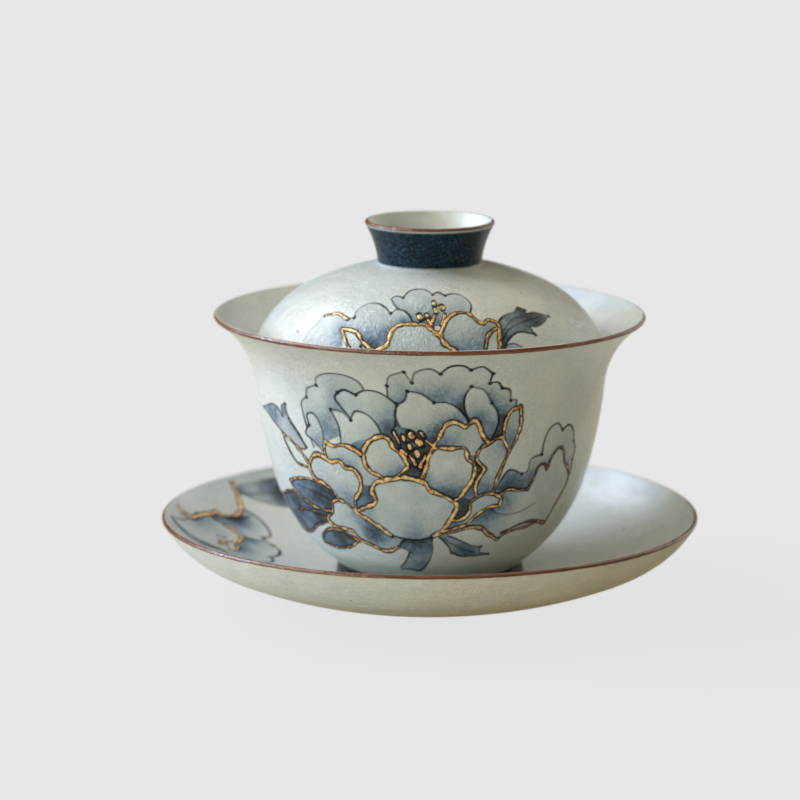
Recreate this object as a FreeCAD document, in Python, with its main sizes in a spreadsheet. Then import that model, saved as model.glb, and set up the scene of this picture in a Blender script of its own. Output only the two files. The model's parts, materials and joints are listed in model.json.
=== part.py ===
import FreeCAD, Part
import Sketcher

import math
import os

# A gaiwan: a lidded tea bowl on its own saucer, in glazed stoneware.
#
# The three loose pieces stand on one vertical axis.  The saucer's foot ring rests on z = 0, the
# bowl's foot ring stands in a shallow well in the saucer, and the lid sits inside the bowl's
# flared mouth.  Every piece is turned, so each one is an outline in the half plane of radius and
# height, revolved about Z.  All lengths are millimetres and all angles are degrees.
#
# Walls are chains of tangent arcs.  Each arc runs between two slopes, and a slope is the angle of
# the wall above the horizontal: 0 lies flat, 90 stands upright, and more than 90 leans inwards.

# ---------------------------------------------------------------- driving dimensions

SIZES = {
    # saucer, from the foot ring out to the lip
    "saucer_ring_outer": 24.0,
    "saucer_ring_inner": 21.0,
    "saucer_ring_draft": 0.5,
    "saucer_base_height": 1.5,
    "saucer_under_reach": 28.35,
    "saucer_under_slope": 2.0,
    "saucer_heel_slope": 13.0,
    "saucer_heel_arc": 20.0,
    "saucer_dish_slope": 23.8,
    "saucer_dish_arc": 104.1,
    "saucer_edge_slope": 56.4,
    "saucer_edge_arc": 25.1,
    "saucer_lip_thick": 1.3,
    "saucer_edge_slope_inside": 53.9,
    "saucer_edge_arc_inside": 20.5,
    "saucer_dish_slope_inside": 23.5,
    "saucer_dish_arc_inside": 82.1,
    "saucer_floor_slope": 3.0,
    "well_floor": 4.5,
    "well_outer": 22.9,
    # bowl
    "foot_gap": 0.05,
    "foot_outer": 21.9,
    "foot_inner": 18.6,
    "foot_ceiling": 6.4,
    "foot_ceiling_reach": 17.6,
    "neck_reach": 21.3,
    "neck_height": 7.9,
    "neck_slope": 34.8,
    "belly_arc": 37.7,
    "belly_slope": 72.2,
    "wall_arc": 107.6,
    "wall_slope": 84.5,
    "flare_arc": 20.0,
    "flare_slope": 35.5,
    "bowl_lip_thick": 1.2,
    "flare_slope_inside": 32.7,
    "flare_arc_inside": 20.8,
    "wall_slope_inside": 84.8,
    "wall_arc_inside": 80.5,
    "belly_slope_inside": 72.4,
    "belly_arc_inside": 33.7,
    "floor_slope_inside": 8.0,
    "band_thick": 0.3,
    "foot_band_low": 4.85,
    # lid
    "lid_edge_reach": 40.3,
    "lid_edge_height": 58.85,
    "lid_edge_slope": 112.2,
    "shoulder_arc": 26.0,
    "shoulder_slope": 155.5,
    "lid_thick": 1.8,
    # ring knob on the lid
    "knob_base_reach": 11.9,
    "knob_base_slope": 84.5,
    "knob_arc": 22.0,
    "knob_top_slope": 62.0,
    "knob_lip_thick": 1.1,
    "knob_top_slope_inside": 59.0,
    "knob_arc_inside": 20.5,
    "knob_base_slope_inside": 82.0,
    "knob_band_margin": 2.0,
    # shared
    "lip_flank": 0.9,
    "edge_round": 0.5,
}

doc = FreeCAD.newDocument("gaiwan")
sheet = doc.addObject("Spreadsheet::Sheet", "Sheet")
sheet.Label = "dimensions"
for row, (alias, number) in enumerate(SIZES.items(), start=1):
    sheet.set(f"A{row}", alias)
    sheet.set(f"B{row}", str(number))
    sheet.setAlias(f"B{row}", alias)
doc.recompute()


class Size:
    """A number together with the sheet expression that gives it."""

    def __init__(self, value, text):
        self.value = value
        self.text = text

    @staticmethod
    def of(other):
        return other if isinstance(other, Size) else Size(float(other), repr(float(other)))

    def __add__(self, other):
        other = Size.of(other)
        return Size(self.value + other.value, f"({self.text} + {other.text})")

    def __sub__(self, other):
        other = Size.of(other)
        return Size(self.value - other.value, f"({self.text} - {other.text})")

    def __mul__(self, other):
        other = Size.of(other)
        return Size(self.value * other.value, f"({self.text} * {other.text})")

    def __truediv__(self, other):
        other = Size.of(other)
        return Size(self.value / other.value, f"({self.text} / {other.text})")

    def __neg__(self):
        return Size(-self.value, f"(0 - {self.text})")


def size(name):
    return Size(float(SIZES[name]), f"{sheet.Name}.{name}")


def sin(angle):
    return Size(math.sin(math.radians(angle.value)), f"sin({angle.text})")


def cos(angle):
    return Size(math.cos(math.radians(angle.value)), f"cos({angle.text})")


ZERO = Size(0.0, "0.0")

# ---------------------------------------------------------------- moves in the half plane


def walk(point, slope_from, slope_to, arc):
    """The end of an arc from point, between two slopes; a negative arc bends the other way."""
    return (
        point[0] + arc * (sin(slope_to) - sin(slope_from)),
        point[1] + arc * (cos(slope_from) - cos(slope_to)),
    )


def beside(point, slope, distance):
    """The point at this distance across a wall, towards its inner face."""
    return (point[0] - distance * sin(slope), point[1] + distance * cos(slope))


def ahead(point, slope, distance):
    """The point at this distance further along a wall."""
    return (point[0] + distance * cos(slope), point[1] + distance * sin(slope))


class Outline:
    """A closed outline in the half plane, made of straight lines and arcs."""

    def __init__(self, start):
        self.points = [start]
        self.arcs = []  # one per side: None for a line, or (radius, turns_left)

    def line_to(self, point):
        self.points.append(point)
        self.arcs.append(None)

    def arc_to(self, point, radius, turns_left):
        self.points.append(point)
        self.arcs.append((radius, turns_left))

    def close(self):
        self.points.append(self.points[0])
        self.arcs.append(None)

    def draw(self, sketch):
        """Draws the outline and binds each corner and each arc's radius to the sheet."""
        for i, arc in enumerate(self.arcs):
            (ax, ay), (bx, by) = (tuple(c.value for c in p) for p in self.points[i : i + 2])
            a, b = FreeCAD.Vector(ax, ay, 0), FreeCAD.Vector(bx, by, 0)
            if arc is None:
                sketch.addGeometry(Part.LineSegment(a, b), False)
                continue
            radius, turns_left = arc
            half = (b - a) * 0.5
            rise = math.sqrt(radius.value**2 - half.Length**2)
            normal = FreeCAD.Vector(-half.y, half.x, 0).normalize()
            centre = a + half + normal * (rise if turns_left else -rise)
            circle = Part.Circle(centre, FreeCAD.Vector(0, 0, 1), radius.value)
            angle_a = math.atan2(a.y - centre.y, a.x - centre.x)
            angle_b = math.atan2(b.y - centre.y, b.x - centre.x)
            ends = (angle_a, angle_b) if turns_left else (angle_b, angle_a)
            sketch.addGeometry(Part.ArcOfCircle(circle, *ends), False)

        def end_of(side, last):
            """1 or 2, the sketcher's number for the first or last end of a side as it is walked."""
            runs_backwards = self.arcs[side] is not None and not self.arcs[side][1]
            return 1 if last == runs_backwards else 2

        sides = len(self.arcs)
        for i in range(sides):
            before = (i - 1) % sides
            sketch.addConstraint(
                Sketcher.Constraint("Coincident", before, end_of(before, True), i, end_of(i, False))
            )
            for kind, coordinate in zip(("DistanceX", "DistanceY"), self.points[i]):
                place = sketch.addConstraint(
                    Sketcher.Constraint(kind, -1, 1, i, end_of(i, False), coordinate.value)
                )
                if coordinate is not ZERO:
                    sketch.setExpression(f"Constraints[{place}]", coordinate.text)
            if self.arcs[i] is not None:
                radius = self.arcs[i][0]
                place = sketch.addConstraint(Sketcher.Constraint("Radius", i, radius.value))
                sketch.setExpression(f"Constraints[{place}]", radius.text)


# ---------------------------------------------------------------- making solids


def origin_plane(body, role):
    return next(f for f in body.Origin.OriginFeatures if f.Role == role)


def turned(label, outline):
    """A body made by turning one closed outline about Z."""
    body = doc.addObject("PartDesign::Body", label)
    body.Label = label
    sketch = body.newObject("Sketcher::SketchObject", f"{label}_outline")
    sketch.AttachmentSupport = (origin_plane(body, "XZ_Plane"), [""])
    sketch.MapMode = "FlatFace"
    outline.draw(sketch)
    if sketch.solve() != 0 or not sketch.FullyConstrained:
        raise RuntimeError(f"{label}: its outline isn't fully constrained")
    turn = body.newObject("PartDesign::Revolution", f"{label}_turned")
    turn.Profile = sketch
    turn.ReferenceAxis = (sketch, ["V_Axis"])
    turn.Angle = 360.0
    turn.Reversed = False
    doc.recompute()
    body.Tip = turn
    return body


def round_edges(body, name, radius, rings):
    """Rounds the circular edges that lie at the given (radius, height) places."""
    base = body.Tip
    found = []
    for number, edge in enumerate(base.Shape.Edges, start=1):
        if edge.Degenerated or not isinstance(edge.Curve, Part.Circle):
            continue
        curve = edge.Curve
        for ring_radius, ring_height in rings:
            near_radius = abs(curve.Radius - ring_radius.value) < 0.01
            near_height = abs(curve.Center.z - ring_height.value) < 0.01
            if near_radius and near_height:
                found.append(f"Edge{number}")
    if len(found) != len(rings):
        raise RuntimeError(f"{name}: found {len(found)} of {len(rings)} edges")
    fillet = body.newObject("PartDesign::Fillet", name)
    fillet.Base = (base, found)
    fillet.Radius = radius.value
    fillet.setExpression("Radius", radius.text)
    doc.recompute()
    body.Tip = fillet
    return fillet


def lip_ring(label, outer, inner, slope, thick):
    """The half-round lip that closes the top of a wall, from its outer to its inner edge."""
    flank = size("lip_flank")
    outer_top = ahead(outer, slope, flank)
    inner_top = ahead(inner, slope, flank)
    tip = ahead(beside(outer, slope, thick / 2), slope, flank + thick / 2)
    outline = Outline(outer)
    outline.line_to(outer_top)
    outline.arc_to(tip, thick / 2, True)
    outline.arc_to(inner_top, thick / 2, True)
    outline.line_to(inner)
    outline.close()
    return turned(label, outline)


# ---------------------------------------------------------------- saucer

saucer_under = (size("saucer_under_reach"), size("saucer_base_height"))
saucer_heel = walk(
    saucer_under, size("saucer_under_slope"), size("saucer_heel_slope"), size("saucer_heel_arc")
)
saucer_dish = walk(
    saucer_heel, size("saucer_heel_slope"), size("saucer_dish_slope"), size("saucer_dish_arc")
)
saucer_edge = walk(
    saucer_dish, size("saucer_dish_slope"), size("saucer_edge_slope"), size("saucer_edge_arc")
)
saucer_edge_inside = beside(saucer_edge, size("saucer_edge_slope"), size("saucer_lip_thick"))
saucer_dish_inside = walk(
    saucer_edge_inside,
    size("saucer_edge_slope_inside"),
    size("saucer_dish_slope_inside"),
    size("saucer_edge_arc_inside"),
)
saucer_floor = walk(
    saucer_dish_inside,
    size("saucer_dish_slope_inside"),
    size("saucer_floor_slope"),
    size("saucer_dish_arc_inside"),
)


def make_saucer():
    ring_outer = size("saucer_ring_outer")
    ring_inner = size("saucer_ring_inner")
    draft = size("saucer_ring_draft")
    base = size("saucer_base_height")
    outline = Outline((ZERO, base))
    outline.line_to((ring_inner - draft, base))
    outline.line_to((ring_inner, ZERO))
    outline.line_to((ring_outer, ZERO))
    outline.line_to((ring_outer + draft, base))
    outline.line_to(saucer_under)
    outline.arc_to(saucer_heel, size("saucer_heel_arc"), True)
    outline.arc_to(saucer_dish, size("saucer_dish_arc"), True)
    outline.arc_to(saucer_edge, size("saucer_edge_arc"), True)
    outline.line_to(saucer_edge_inside)
    outline.arc_to(saucer_dish_inside, size("saucer_edge_arc_inside"), False)
    outline.arc_to(saucer_floor, size("saucer_dish_arc_inside"), False)
    outline.line_to((size("well_outer"), size("well_floor")))
    outline.line_to((ZERO, size("well_floor")))
    outline.close()
    body = turned("saucer", outline)
    round_edges(
        body,
        "saucer_soft_edges",
        size("edge_round"),
        [(ring_inner, ZERO), (ring_outer, ZERO), (ring_outer + draft, base)],
    )
    return body


# ---------------------------------------------------------------- bowl

neck = (size("neck_reach"), size("neck_height"))
belly = walk(neck, size("neck_slope"), size("belly_slope"), size("belly_arc"))
wall = walk(belly, size("belly_slope"), size("wall_slope"), size("wall_arc"))
flare = walk(wall, size("wall_slope"), size("flare_slope"), -size("flare_arc"))
flare_inside = beside(flare, size("flare_slope"), size("bowl_lip_thick"))
wall_inside = walk(
    flare_inside, size("flare_slope_inside"), size("wall_slope_inside"), -size("flare_arc_inside")
)
belly_inside = walk(
    wall_inside, size("wall_slope_inside"), size("belly_slope_inside"), size("wall_arc_inside")
)
floor_inside = walk(
    belly_inside, size("belly_slope_inside"), size("floor_slope_inside"), size("belly_arc_inside")
)
# The floor is a shallow bowl of its own whose centre is on the axis.
floor_arc = floor_inside[0] / sin(size("floor_slope_inside"))
floor_centre = (
    ZERO,
    floor_inside[1] - floor_arc + floor_arc * cos(size("floor_slope_inside")),
)
foot_bottom = size("well_floor") + size("foot_gap")


def foot_side(height):
    """The radius of the bare foot at a height: it widens downwards, inside the band."""
    bottom = size("foot_outer") - size("band_thick")
    top = neck[0] - size("band_thick")
    share = (height - foot_bottom) / (neck[1] - foot_bottom)
    return bottom + (top - bottom) * share


def make_bowl():
    foot_outer = foot_side(foot_bottom)
    foot_inner = size("foot_inner")
    ceiling = size("foot_ceiling")
    outline = Outline((ZERO, ceiling))
    outline.line_to((size("foot_ceiling_reach"), ceiling))
    outline.line_to((foot_inner, foot_bottom))
    outline.line_to((foot_outer, foot_bottom))
    outline.line_to((foot_side(neck[1]), neck[1]))
    outline.line_to(neck)
    outline.arc_to(belly, size("belly_arc"), True)
    outline.arc_to(wall, size("wall_arc"), True)
    outline.arc_to(flare, size("flare_arc"), False)
    outline.line_to(flare_inside)
    outline.arc_to(wall_inside, size("flare_arc_inside"), True)
    outline.arc_to(belly_inside, size("wall_arc_inside"), False)
    outline.arc_to(floor_inside, size("belly_arc_inside"), False)
    outline.arc_to(floor_centre, floor_arc, False)
    outline.close()
    body = turned("bowl", outline)
    round_edges(
        body,
        "bowl_foot_soft_edges",
        size("edge_round"),
        [(foot_inner, foot_bottom), (size("foot_ceiling_reach"), ceiling)],
    )
    return body


def make_foot_band():
    low = size("foot_band_low")
    high = neck[1]
    outline = Outline((foot_side(low), low))
    outline.line_to((foot_side(low) + size("band_thick"), low))
    outline.line_to((foot_side(high) + size("band_thick"), high))
    outline.line_to((foot_side(high), high))
    outline.close()
    return turned("foot_band", outline)


# ---------------------------------------------------------------- lid

lid_edge = (size("lid_edge_reach"), size("lid_edge_height"))
shoulder = walk(lid_edge, size("lid_edge_slope"), size("shoulder_slope"), size("shoulder_arc"))
# The crown is part of a ball whose centre is on the axis.
crown_arc = shoulder[0] / sin(size("shoulder_slope"))
crown_centre_height = shoulder[1] + crown_arc * cos(size("shoulder_slope"))
crown_top = (ZERO, crown_centre_height + crown_arc)
lid_edge_inside = beside(lid_edge, size("lid_edge_slope"), size("lid_thick"))
shoulder_inside = beside(shoulder, size("shoulder_slope"), size("lid_thick"))
crown_top_inside = (ZERO, crown_top[1] - size("lid_thick"))


def make_lid():
    outline = Outline(lid_edge)
    outline.arc_to(shoulder, size("shoulder_arc"), True)
    outline.arc_to(crown_top, crown_arc, True)
    outline.line_to(crown_top_inside)
    outline.arc_to(shoulder_inside, crown_arc - size("lid_thick"), False)
    outline.arc_to(lid_edge_inside, size("shoulder_arc") - size("lid_thick"), False)
    outline.close()
    return turned("lid", outline)


# ---------------------------------------------------------------- knob


def crown_height(reach):
    """The height of the crown's outer face at a radius."""
    value = crown_centre_height.value + math.sqrt(crown_arc.value**2 - reach.value**2)
    text = f"({crown_centre_height.text} + sqrt({crown_arc.text}^2 - {reach.text}^2))"
    return Size(value, text)


knob_base = (size("knob_base_reach"), crown_height(size("knob_base_reach")))
knob_top = walk(knob_base, size("knob_base_slope"), size("knob_top_slope"), -size("knob_arc"))
knob_top_inside = beside(knob_top, size("knob_top_slope"), size("knob_lip_thick"))
knob_low_inside = walk(
    knob_top_inside,
    size("knob_top_slope_inside"),
    size("knob_base_slope_inside"),
    -size("knob_arc_inside"),
)
knob_base_inside = (knob_low_inside[0], crown_height(knob_low_inside[0]))

# The cobalt band covers the outside of the knob up to a little below its lip.
band_top_slope = size("knob_top_slope") + size("knob_band_margin")
band_top = walk(knob_base, size("knob_base_slope"), band_top_slope, -size("knob_arc"))
band_top_bed = beside(band_top, band_top_slope, size("band_thick"))
band_base_bed_reach = knob_base[0] - size("band_thick")
band_base_bed = (band_base_bed_reach, crown_height(band_base_bed_reach))


def make_knob():
    bed_arc = size("knob_arc") + size("band_thick")
    outline = Outline(band_base_bed)
    outline.arc_to(band_top_bed, bed_arc, False)
    outline.line_to(band_top)
    outline.arc_to(knob_top, size("knob_arc"), False)
    outline.line_to(knob_top_inside)
    outline.arc_to(knob_low_inside, size("knob_arc_inside"), True)
    outline.line_to(knob_base_inside)
    outline.arc_to(band_base_bed, crown_arc, False)
    return turned("lid_knob", outline)


def make_knob_band():
    bed_arc = size("knob_arc") + size("band_thick")
    outline = Outline(knob_base)
    outline.arc_to(band_top, size("knob_arc"), False)
    outline.line_to(band_top_bed)
    outline.arc_to(band_base_bed, bed_arc, True)
    outline.arc_to(knob_base, crown_arc, False)
    return turned("knob_band", outline)


# ---------------------------------------------------------------- assembly


def make_lips():
    """The iron-brown lips of the saucer, the bowl, the lid and the knob."""
    # The lid's wall is walked upwards, so its lip points the other way, back down the wall.
    down_the_lid = size("lid_edge_slope") - 180
    wall_ends = {
        "saucer_lip": (saucer_edge, saucer_edge_inside, size("saucer_edge_slope"), "saucer_lip_thick"),
        "bowl_lip": (flare, flare_inside, size("flare_slope"), "bowl_lip_thick"),
        "lid_lip": (lid_edge_inside, lid_edge, down_the_lid, "lid_thick"),
        "knob_lip": (knob_top, knob_top_inside, size("knob_top_slope"), "knob_lip_thick"),
    }
    return [
        lip_ring(label, outer, inner, slope, size(thick))
        for label, (outer, inner, slope, thick) in wall_ends.items()
    ]


pieces = [make_saucer(), make_bowl(), make_foot_band(), make_lid(), make_knob(), make_knob_band()]
pieces += make_lips()
doc.recompute()

for thing in doc.Objects:
    if {"Invalid", "Error"} & set(thing.State):
        raise RuntimeError(f"{thing.Label} did not recompute: {thing.State}")
for piece in pieces:
    if piece.Shape.isNull() or not piece.Shape.isValid() or len(piece.Shape.Solids) != 1:
        raise RuntimeError(f"{piece.Label} is not one valid solid")

os.makedirs("parts", exist_ok=True)
for piece in pieces:
    piece.Shape.exportStep(os.path.join("parts", piece.Label + ".step"))
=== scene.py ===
import json
import math

import bpy
import numpy as np
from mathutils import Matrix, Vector


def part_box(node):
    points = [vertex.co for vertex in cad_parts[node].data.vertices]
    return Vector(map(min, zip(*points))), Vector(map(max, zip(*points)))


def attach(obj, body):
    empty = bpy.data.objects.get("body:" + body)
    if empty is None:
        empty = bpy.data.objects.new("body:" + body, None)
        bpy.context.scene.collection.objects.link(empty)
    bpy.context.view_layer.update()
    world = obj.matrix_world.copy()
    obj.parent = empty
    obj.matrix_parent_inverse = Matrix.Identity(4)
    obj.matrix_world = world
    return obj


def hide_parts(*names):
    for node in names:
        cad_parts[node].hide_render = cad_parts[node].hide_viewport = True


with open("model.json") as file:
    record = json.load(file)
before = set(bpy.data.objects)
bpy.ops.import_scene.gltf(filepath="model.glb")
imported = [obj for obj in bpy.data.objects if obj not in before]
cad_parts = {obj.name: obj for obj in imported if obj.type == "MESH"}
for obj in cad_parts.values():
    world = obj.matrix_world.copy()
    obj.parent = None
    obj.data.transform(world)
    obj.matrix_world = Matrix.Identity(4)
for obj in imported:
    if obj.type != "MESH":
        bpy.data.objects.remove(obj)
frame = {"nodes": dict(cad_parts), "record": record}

# A hand-painted gaiwan in pale, faintly rippled glaze: saucer, bowl and lid with iron-brown lips,
# cobalt bands on the knob and the foot, and a peony in ink wash and raised gold.
#
# Lengths in this script are millimetres until a mesh is made.  Every ceramic surface is turned
# from the outline of its own CAD node.  Azimuths are measured from the front (-Y) towards +X.
# A painted face has its own flat coordinates, across and up, in millimetres.

MM = 0.001
RADIUS, HEIGHT = 0, 1  # the two columns of an outline
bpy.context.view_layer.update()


def lengths(line):
    """The length of a line up to each of its points."""
    return np.concatenate([[0], np.cumsum(np.hypot(*np.diff(line, axis=0).T))])


def unbroken(wanted):
    """The (start, stop) of every unbroken run of wanted places in a row."""
    edges = np.flatnonzero(np.diff(np.concatenate([[0], wanted.astype(int), [0]])))
    return list(zip(edges[::2], edges[1::2]))


def put_in_scene(name, data):
    """A new object that holds a mesh, a light or a camera."""
    made = bpy.data.objects.new(name, data)
    bpy.context.scene.collection.objects.link(made)
    return made


# ---------------------------------------------------------------- outlines from the CAD nodes


NEAR_ZERO = 1e-3
HAIR = 0.01  # too small a length to matter


def outline_of(node):
    """The node's section as ordered (radius, height) points, with the solid on the left."""
    mesh = frame["nodes"][node].data
    places = np.array([v.co for v in mesh.vertices]) / MM
    on_seam = (np.abs(places[:, 1]) < NEAR_ZERO) & (places[:, 0] > -NEAR_ZERO)
    keys = [(abs(float(p[0])), float(p[1])) for p in np.round(places[:, [0, 2]], 3)]
    links = {}
    for edge in mesh.edges:
        a, b = edge.vertices
        if on_seam[a] and on_seam[b] and keys[a] != keys[b]:
            links.setdefault(keys[a], set()).add(keys[b])
            links.setdefault(keys[b], set()).add(keys[a])
    ends = [key for key, near in links.items() if len(near) == 1]
    walk = [min(ends or links)]
    while True:
        onward = [key for key in sorted(links[walk[-1]]) if key not in walk[-2:] and key not in walk]
        if not onward:
            break
        walk.append(onward[0])
    closed = not ends
    if not closed:
        # A flat disc has no vertex at its centre, so both ends run in to the axis.
        walk = [(0.0, walk[0][1])] * (walk[0][0] > HAIR) + walk
        walk = walk + [(0.0, walk[-1][1])] * (walk[-1][0] > HAIR)
    points = np.array(walk)
    after = np.roll(points, -1, axis=0)
    area = np.sum(points[:, 0] * after[:, 1] - after[:, 0] * points[:, 1])
    return (points if area > 0 else points[::-1]), closed


CORNER_TURN = math.radians(42)
SPAN_STEPS = 12  # points in each span of an outline before they are respaced


def between(p, q, low, high, at):
    """The value at a place between low, where it is p, and high, where it is q."""
    return (high - at) / (high - low) * p + (at - low) / (high - low) * q


def catmull(points, per_span):
    """A smooth curve through the points, with this many steps in each span."""
    if len(points) == 2:
        share = np.linspace(0, 1, per_span + 1)[:, None]
        return points[0] * (1 - share) + points[1] * share
    first = 2 * points[0] - points[1]
    last = 2 * points[-1] - points[-2]
    padded = np.vstack([first, points, last])
    knots = np.concatenate([[0], np.cumsum(np.sqrt(np.hypot(*np.diff(padded, axis=0).T)) + 1e-9)])
    curve = []
    for i in range(1, len(padded) - 2):
        k0, k1, k2, k3 = knots[i - 1 : i + 3]
        p0, p1, p2, p3 = padded[i - 1 : i + 3]
        t = np.linspace(k1, k2, per_span, endpoint=False)[:, None]
        a1 = between(p0, p1, k0, k1, t)
        a2 = between(p1, p2, k1, k2, t)
        a3 = between(p2, p3, k2, k3, t)
        curve.append(between(between(a1, a2, k0, k2, t), between(a2, a3, k1, k3, t), k1, k2, t))
    curve.append(points[-1:])
    return np.vstack(curve)


def respaced(curve, spacing):
    """The curve with new points, spaced by spacing(radius, height)."""
    length = lengths(curve)
    pitch = np.array([spacing(*p) for p in curve])
    effort = np.concatenate([[0], np.cumsum(np.diff(length) / ((pitch[1:] + pitch[:-1]) / 2))])
    steps = max(1, int(math.ceil(effort[-1])))
    at = np.interp(np.linspace(0, effort[-1], steps + 1), effort, length)
    return np.stack([np.interp(at, length, curve[:, k]) for k in (0, 1)], axis=1)


class Section:
    """A CAD node's outline, smoothed between its corners and given new points."""

    def __init__(self, node, spacing):
        points, self.closed = outline_of(node)
        before = points - np.roll(points, 1, axis=0)
        after = np.roll(points, -1, axis=0) - points
        turn = np.arctan2(
            before[:, 0] * after[:, 1] - before[:, 1] * after[:, 0], np.sum(before * after, axis=1)
        )
        corners = [i for i in range(len(points)) if abs(turn[i]) > CORNER_TURN]
        if self.closed:
            points = np.roll(points, -corners[0], axis=0)
            corners = [i - corners[0] for i in corners] + [len(points)]
            points = np.vstack([points, points[:1]])
        else:
            corners = sorted({0, len(points) - 1, *corners})
        rows, sharp = [], []
        for a, b in zip(corners[:-1], corners[1:]):
            run = respaced(catmull(points[a : b + 1], SPAN_STEPS), spacing)
            rows.append(run[:-1])
            sharp += [True] + [False] * (len(run) - 2)
        if not self.closed:
            rows.append(points[-1:])
            sharp.append(True)
        self.rows = np.vstack(rows)
        self.sharp = np.array(sharp)


# ---------------------------------------------------------------- smooth seeded variation


LATTICE = 97  # the noise repeats after this many features


def cloud(x, y, size, seed):
    """Smooth seeded noise between 0 and 1, with features about this size."""
    lattice = np.random.default_rng(seed).random((LATTICE, LATTICE))
    u, v = np.asarray(x) / size + 31.4, np.asarray(y) / size + 17.2
    i, j = np.floor(u).astype(int), np.floor(v).astype(int)
    fu, fv = u - i, v - j
    fu, fv = fu * fu * (3 - 2 * fu), fv * fv * (3 - 2 * fv)
    i0, i1, j0, j1 = i % LATTICE, (i + 1) % LATTICE, j % LATTICE, (j + 1) % LATTICE
    low = lattice[i0, j0] * (1 - fu) + lattice[i1, j0] * fu
    high = lattice[i0, j1] * (1 - fu) + lattice[i1, j1] * fu
    return low * (1 - fv) + high * fv


def ramp(value, low, high):
    """0 below low, 1 above high, and smooth between."""
    share = np.clip((value - low) / (high - low), 0, 1)
    return share * share * (3 - 2 * share)


# The bowl's mouth stands a quarter of a millimetre higher on its left, and nothing is quite round.
LEAN = 0.0052
OVAL, LOBED = 0.0011, 0.0006  # shares of the radius
RIM_WAVES = 0.16, 0.07  # the saucer's rim rises and falls by this
DISH_REACH = 26, 61  # the radii between which the saucer's waviness sets in
ABOVE_FOOT = 1, 22  # the heights above the foot band between which the bowl's lean sets in
FOOT_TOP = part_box("foot_band")[1].z / MM


def by_hand(points, body):
    """Points moved as a hand-thrown and fired piece differs from a true turned one."""
    x, y, z = points.T.copy()
    azimuth = np.arctan2(x, -y)
    reach = np.hypot(x, y)
    if body == "saucer_body":
        outward = ramp(reach, *DISH_REACH)
        z = z + outward * (RIM_WAVES[0] * np.cos(2 * azimuth + 0.7) + RIM_WAVES[1] * np.sin(3 * azimuth))
        return np.stack([x, y, z], axis=1)
    above = ramp(z - FOOT_TOP, *ABOVE_FOOT)
    oval = 1 + above * (OVAL * np.cos(2 * azimuth - 0.9) + LOBED * np.sin(3 * azimuth + 0.4))
    z = z - above * LEAN * x
    return np.stack([x * oval, y * oval, z], axis=1)


# ---------------------------------------------------------------- turned meshes


def columns(fine_from, fine_to, fine_step, coarse_step):
    """Azimuths round a piece in degrees: fine over the painted part, coarser elsewhere."""
    fine = np.arange(fine_from, fine_to, fine_step)
    gap = 360 - (fine_to - fine_from)
    coarse = np.linspace(fine_to, fine_to + gap, int(gap / coarse_step), endpoint=False)
    return np.radians(np.concatenate([fine, coarse]))


class Turned:
    """A closed mesh turned from a section, with values kept for each of its vertices."""

    def __init__(self, node, body, section, azimuths):
        self.node, self.body, self.section, self.azimuths = node, body, section, azimuths
        count = len(azimuths)
        on_axis = section.rows[:, 0] < 0.005
        self.starts = np.concatenate([[0], np.cumsum(np.where(on_axis, 1, count))])
        self.row_of = np.repeat(np.arange(len(on_axis)), np.where(on_axis, 1, count))
        self.column_of = np.concatenate([[0] if pole else np.arange(count) for pole in on_axis])
        radius, height = section.rows[self.row_of].T
        angle = azimuths[self.column_of]
        places = np.stack([radius * np.sin(angle), -radius * np.cos(angle), height], axis=1)
        self.places = by_hand(places, body)
        faces = []
        here = np.arange(count)
        there = np.roll(here, -1)
        last = len(on_axis) if section.closed else len(on_axis) - 1
        for i in range(last):
            k = (i + 1) % len(on_axis)
            a, b = self.starts[i], self.starts[k]
            if on_axis[i]:
                faces += np.stack([np.full(count, a), b + there, b + here], axis=1).tolist()
            elif on_axis[k]:
                faces += np.stack([a + here, a + there, np.full(count, b)], axis=1).tolist()
            else:
                faces += np.stack([a + here, a + there, b + there, b + here], axis=1).tolist()
        mesh = bpy.data.meshes.new(node + "_turned")
        mesh.from_pydata((self.places * MM).tolist(), [], faces)
        mesh.shade_smooth()
        ends = np.zeros(len(mesh.edges) * 2, np.int32)
        mesh.edges.foreach_get("vertices", ends)
        ends = ends.reshape(-1, 2)
        row_a, row_b = self.row_of[ends[:, 0]], self.row_of[ends[:, 1]]
        sharp = (row_a == row_b) & section.sharp[row_a] & ~on_axis[row_a]
        mesh.attributes.new("sharp_edge", "BOOLEAN", "EDGE").data.foreach_set("value", sharp)
        self.object = put_in_scene(node + "_glazed", mesh)
        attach(self.object, body)
        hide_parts(node)

    def keep(self, name, values):
        """Stores one value for each vertex, for the material to read."""
        attribute = self.object.data.attributes.new(name, "FLOAT", "POINT")
        attribute.data.foreach_set("value", np.asarray(values, np.float32))


# ---------------------------------------------------------------- brush and ink

C = 1  # marks a cusp: a place where the brush stops and turns


def smooth(points, per_span=10):
    """A drawn line through (across, up) points, with a sharp turn at every point marked C."""
    places = np.array([p[:2] for p in points], float)
    cusps = [i for i, p in enumerate(points) if len(p) > 2 and 0 < i < len(points) - 1]
    ends = [0, *cusps, len(points) - 1]
    runs = [catmull(places[a : b + 1], per_span) for a, b in zip(ends[:-1], ends[1:])]
    return np.vstack([run[:-1] for run in runs] + [places[-1:]])


def evenly(line, pitch):
    """The line again, with its points about this far apart, and the length up to each."""
    length = lengths(line)
    at = np.linspace(0, length[-1], max(2, int(length[-1] / pitch) + 1))
    return np.stack([np.interp(at, length, line[:, k]) for k in (0, 1)], axis=1), at


def inside(x, y, shape):
    """Which places lie inside a closed shape, by counting crossings."""
    hit = np.zeros(x.shape, bool)
    for (ax, ay), (bx, by) in zip(shape, np.roll(shape, -1, axis=0)):
        if ay != by:
            hit ^= ((ay > y) != (by > y)) & (x < (bx - ax) * (y - ay) / (by - ay) + ax)
    return hit


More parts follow.
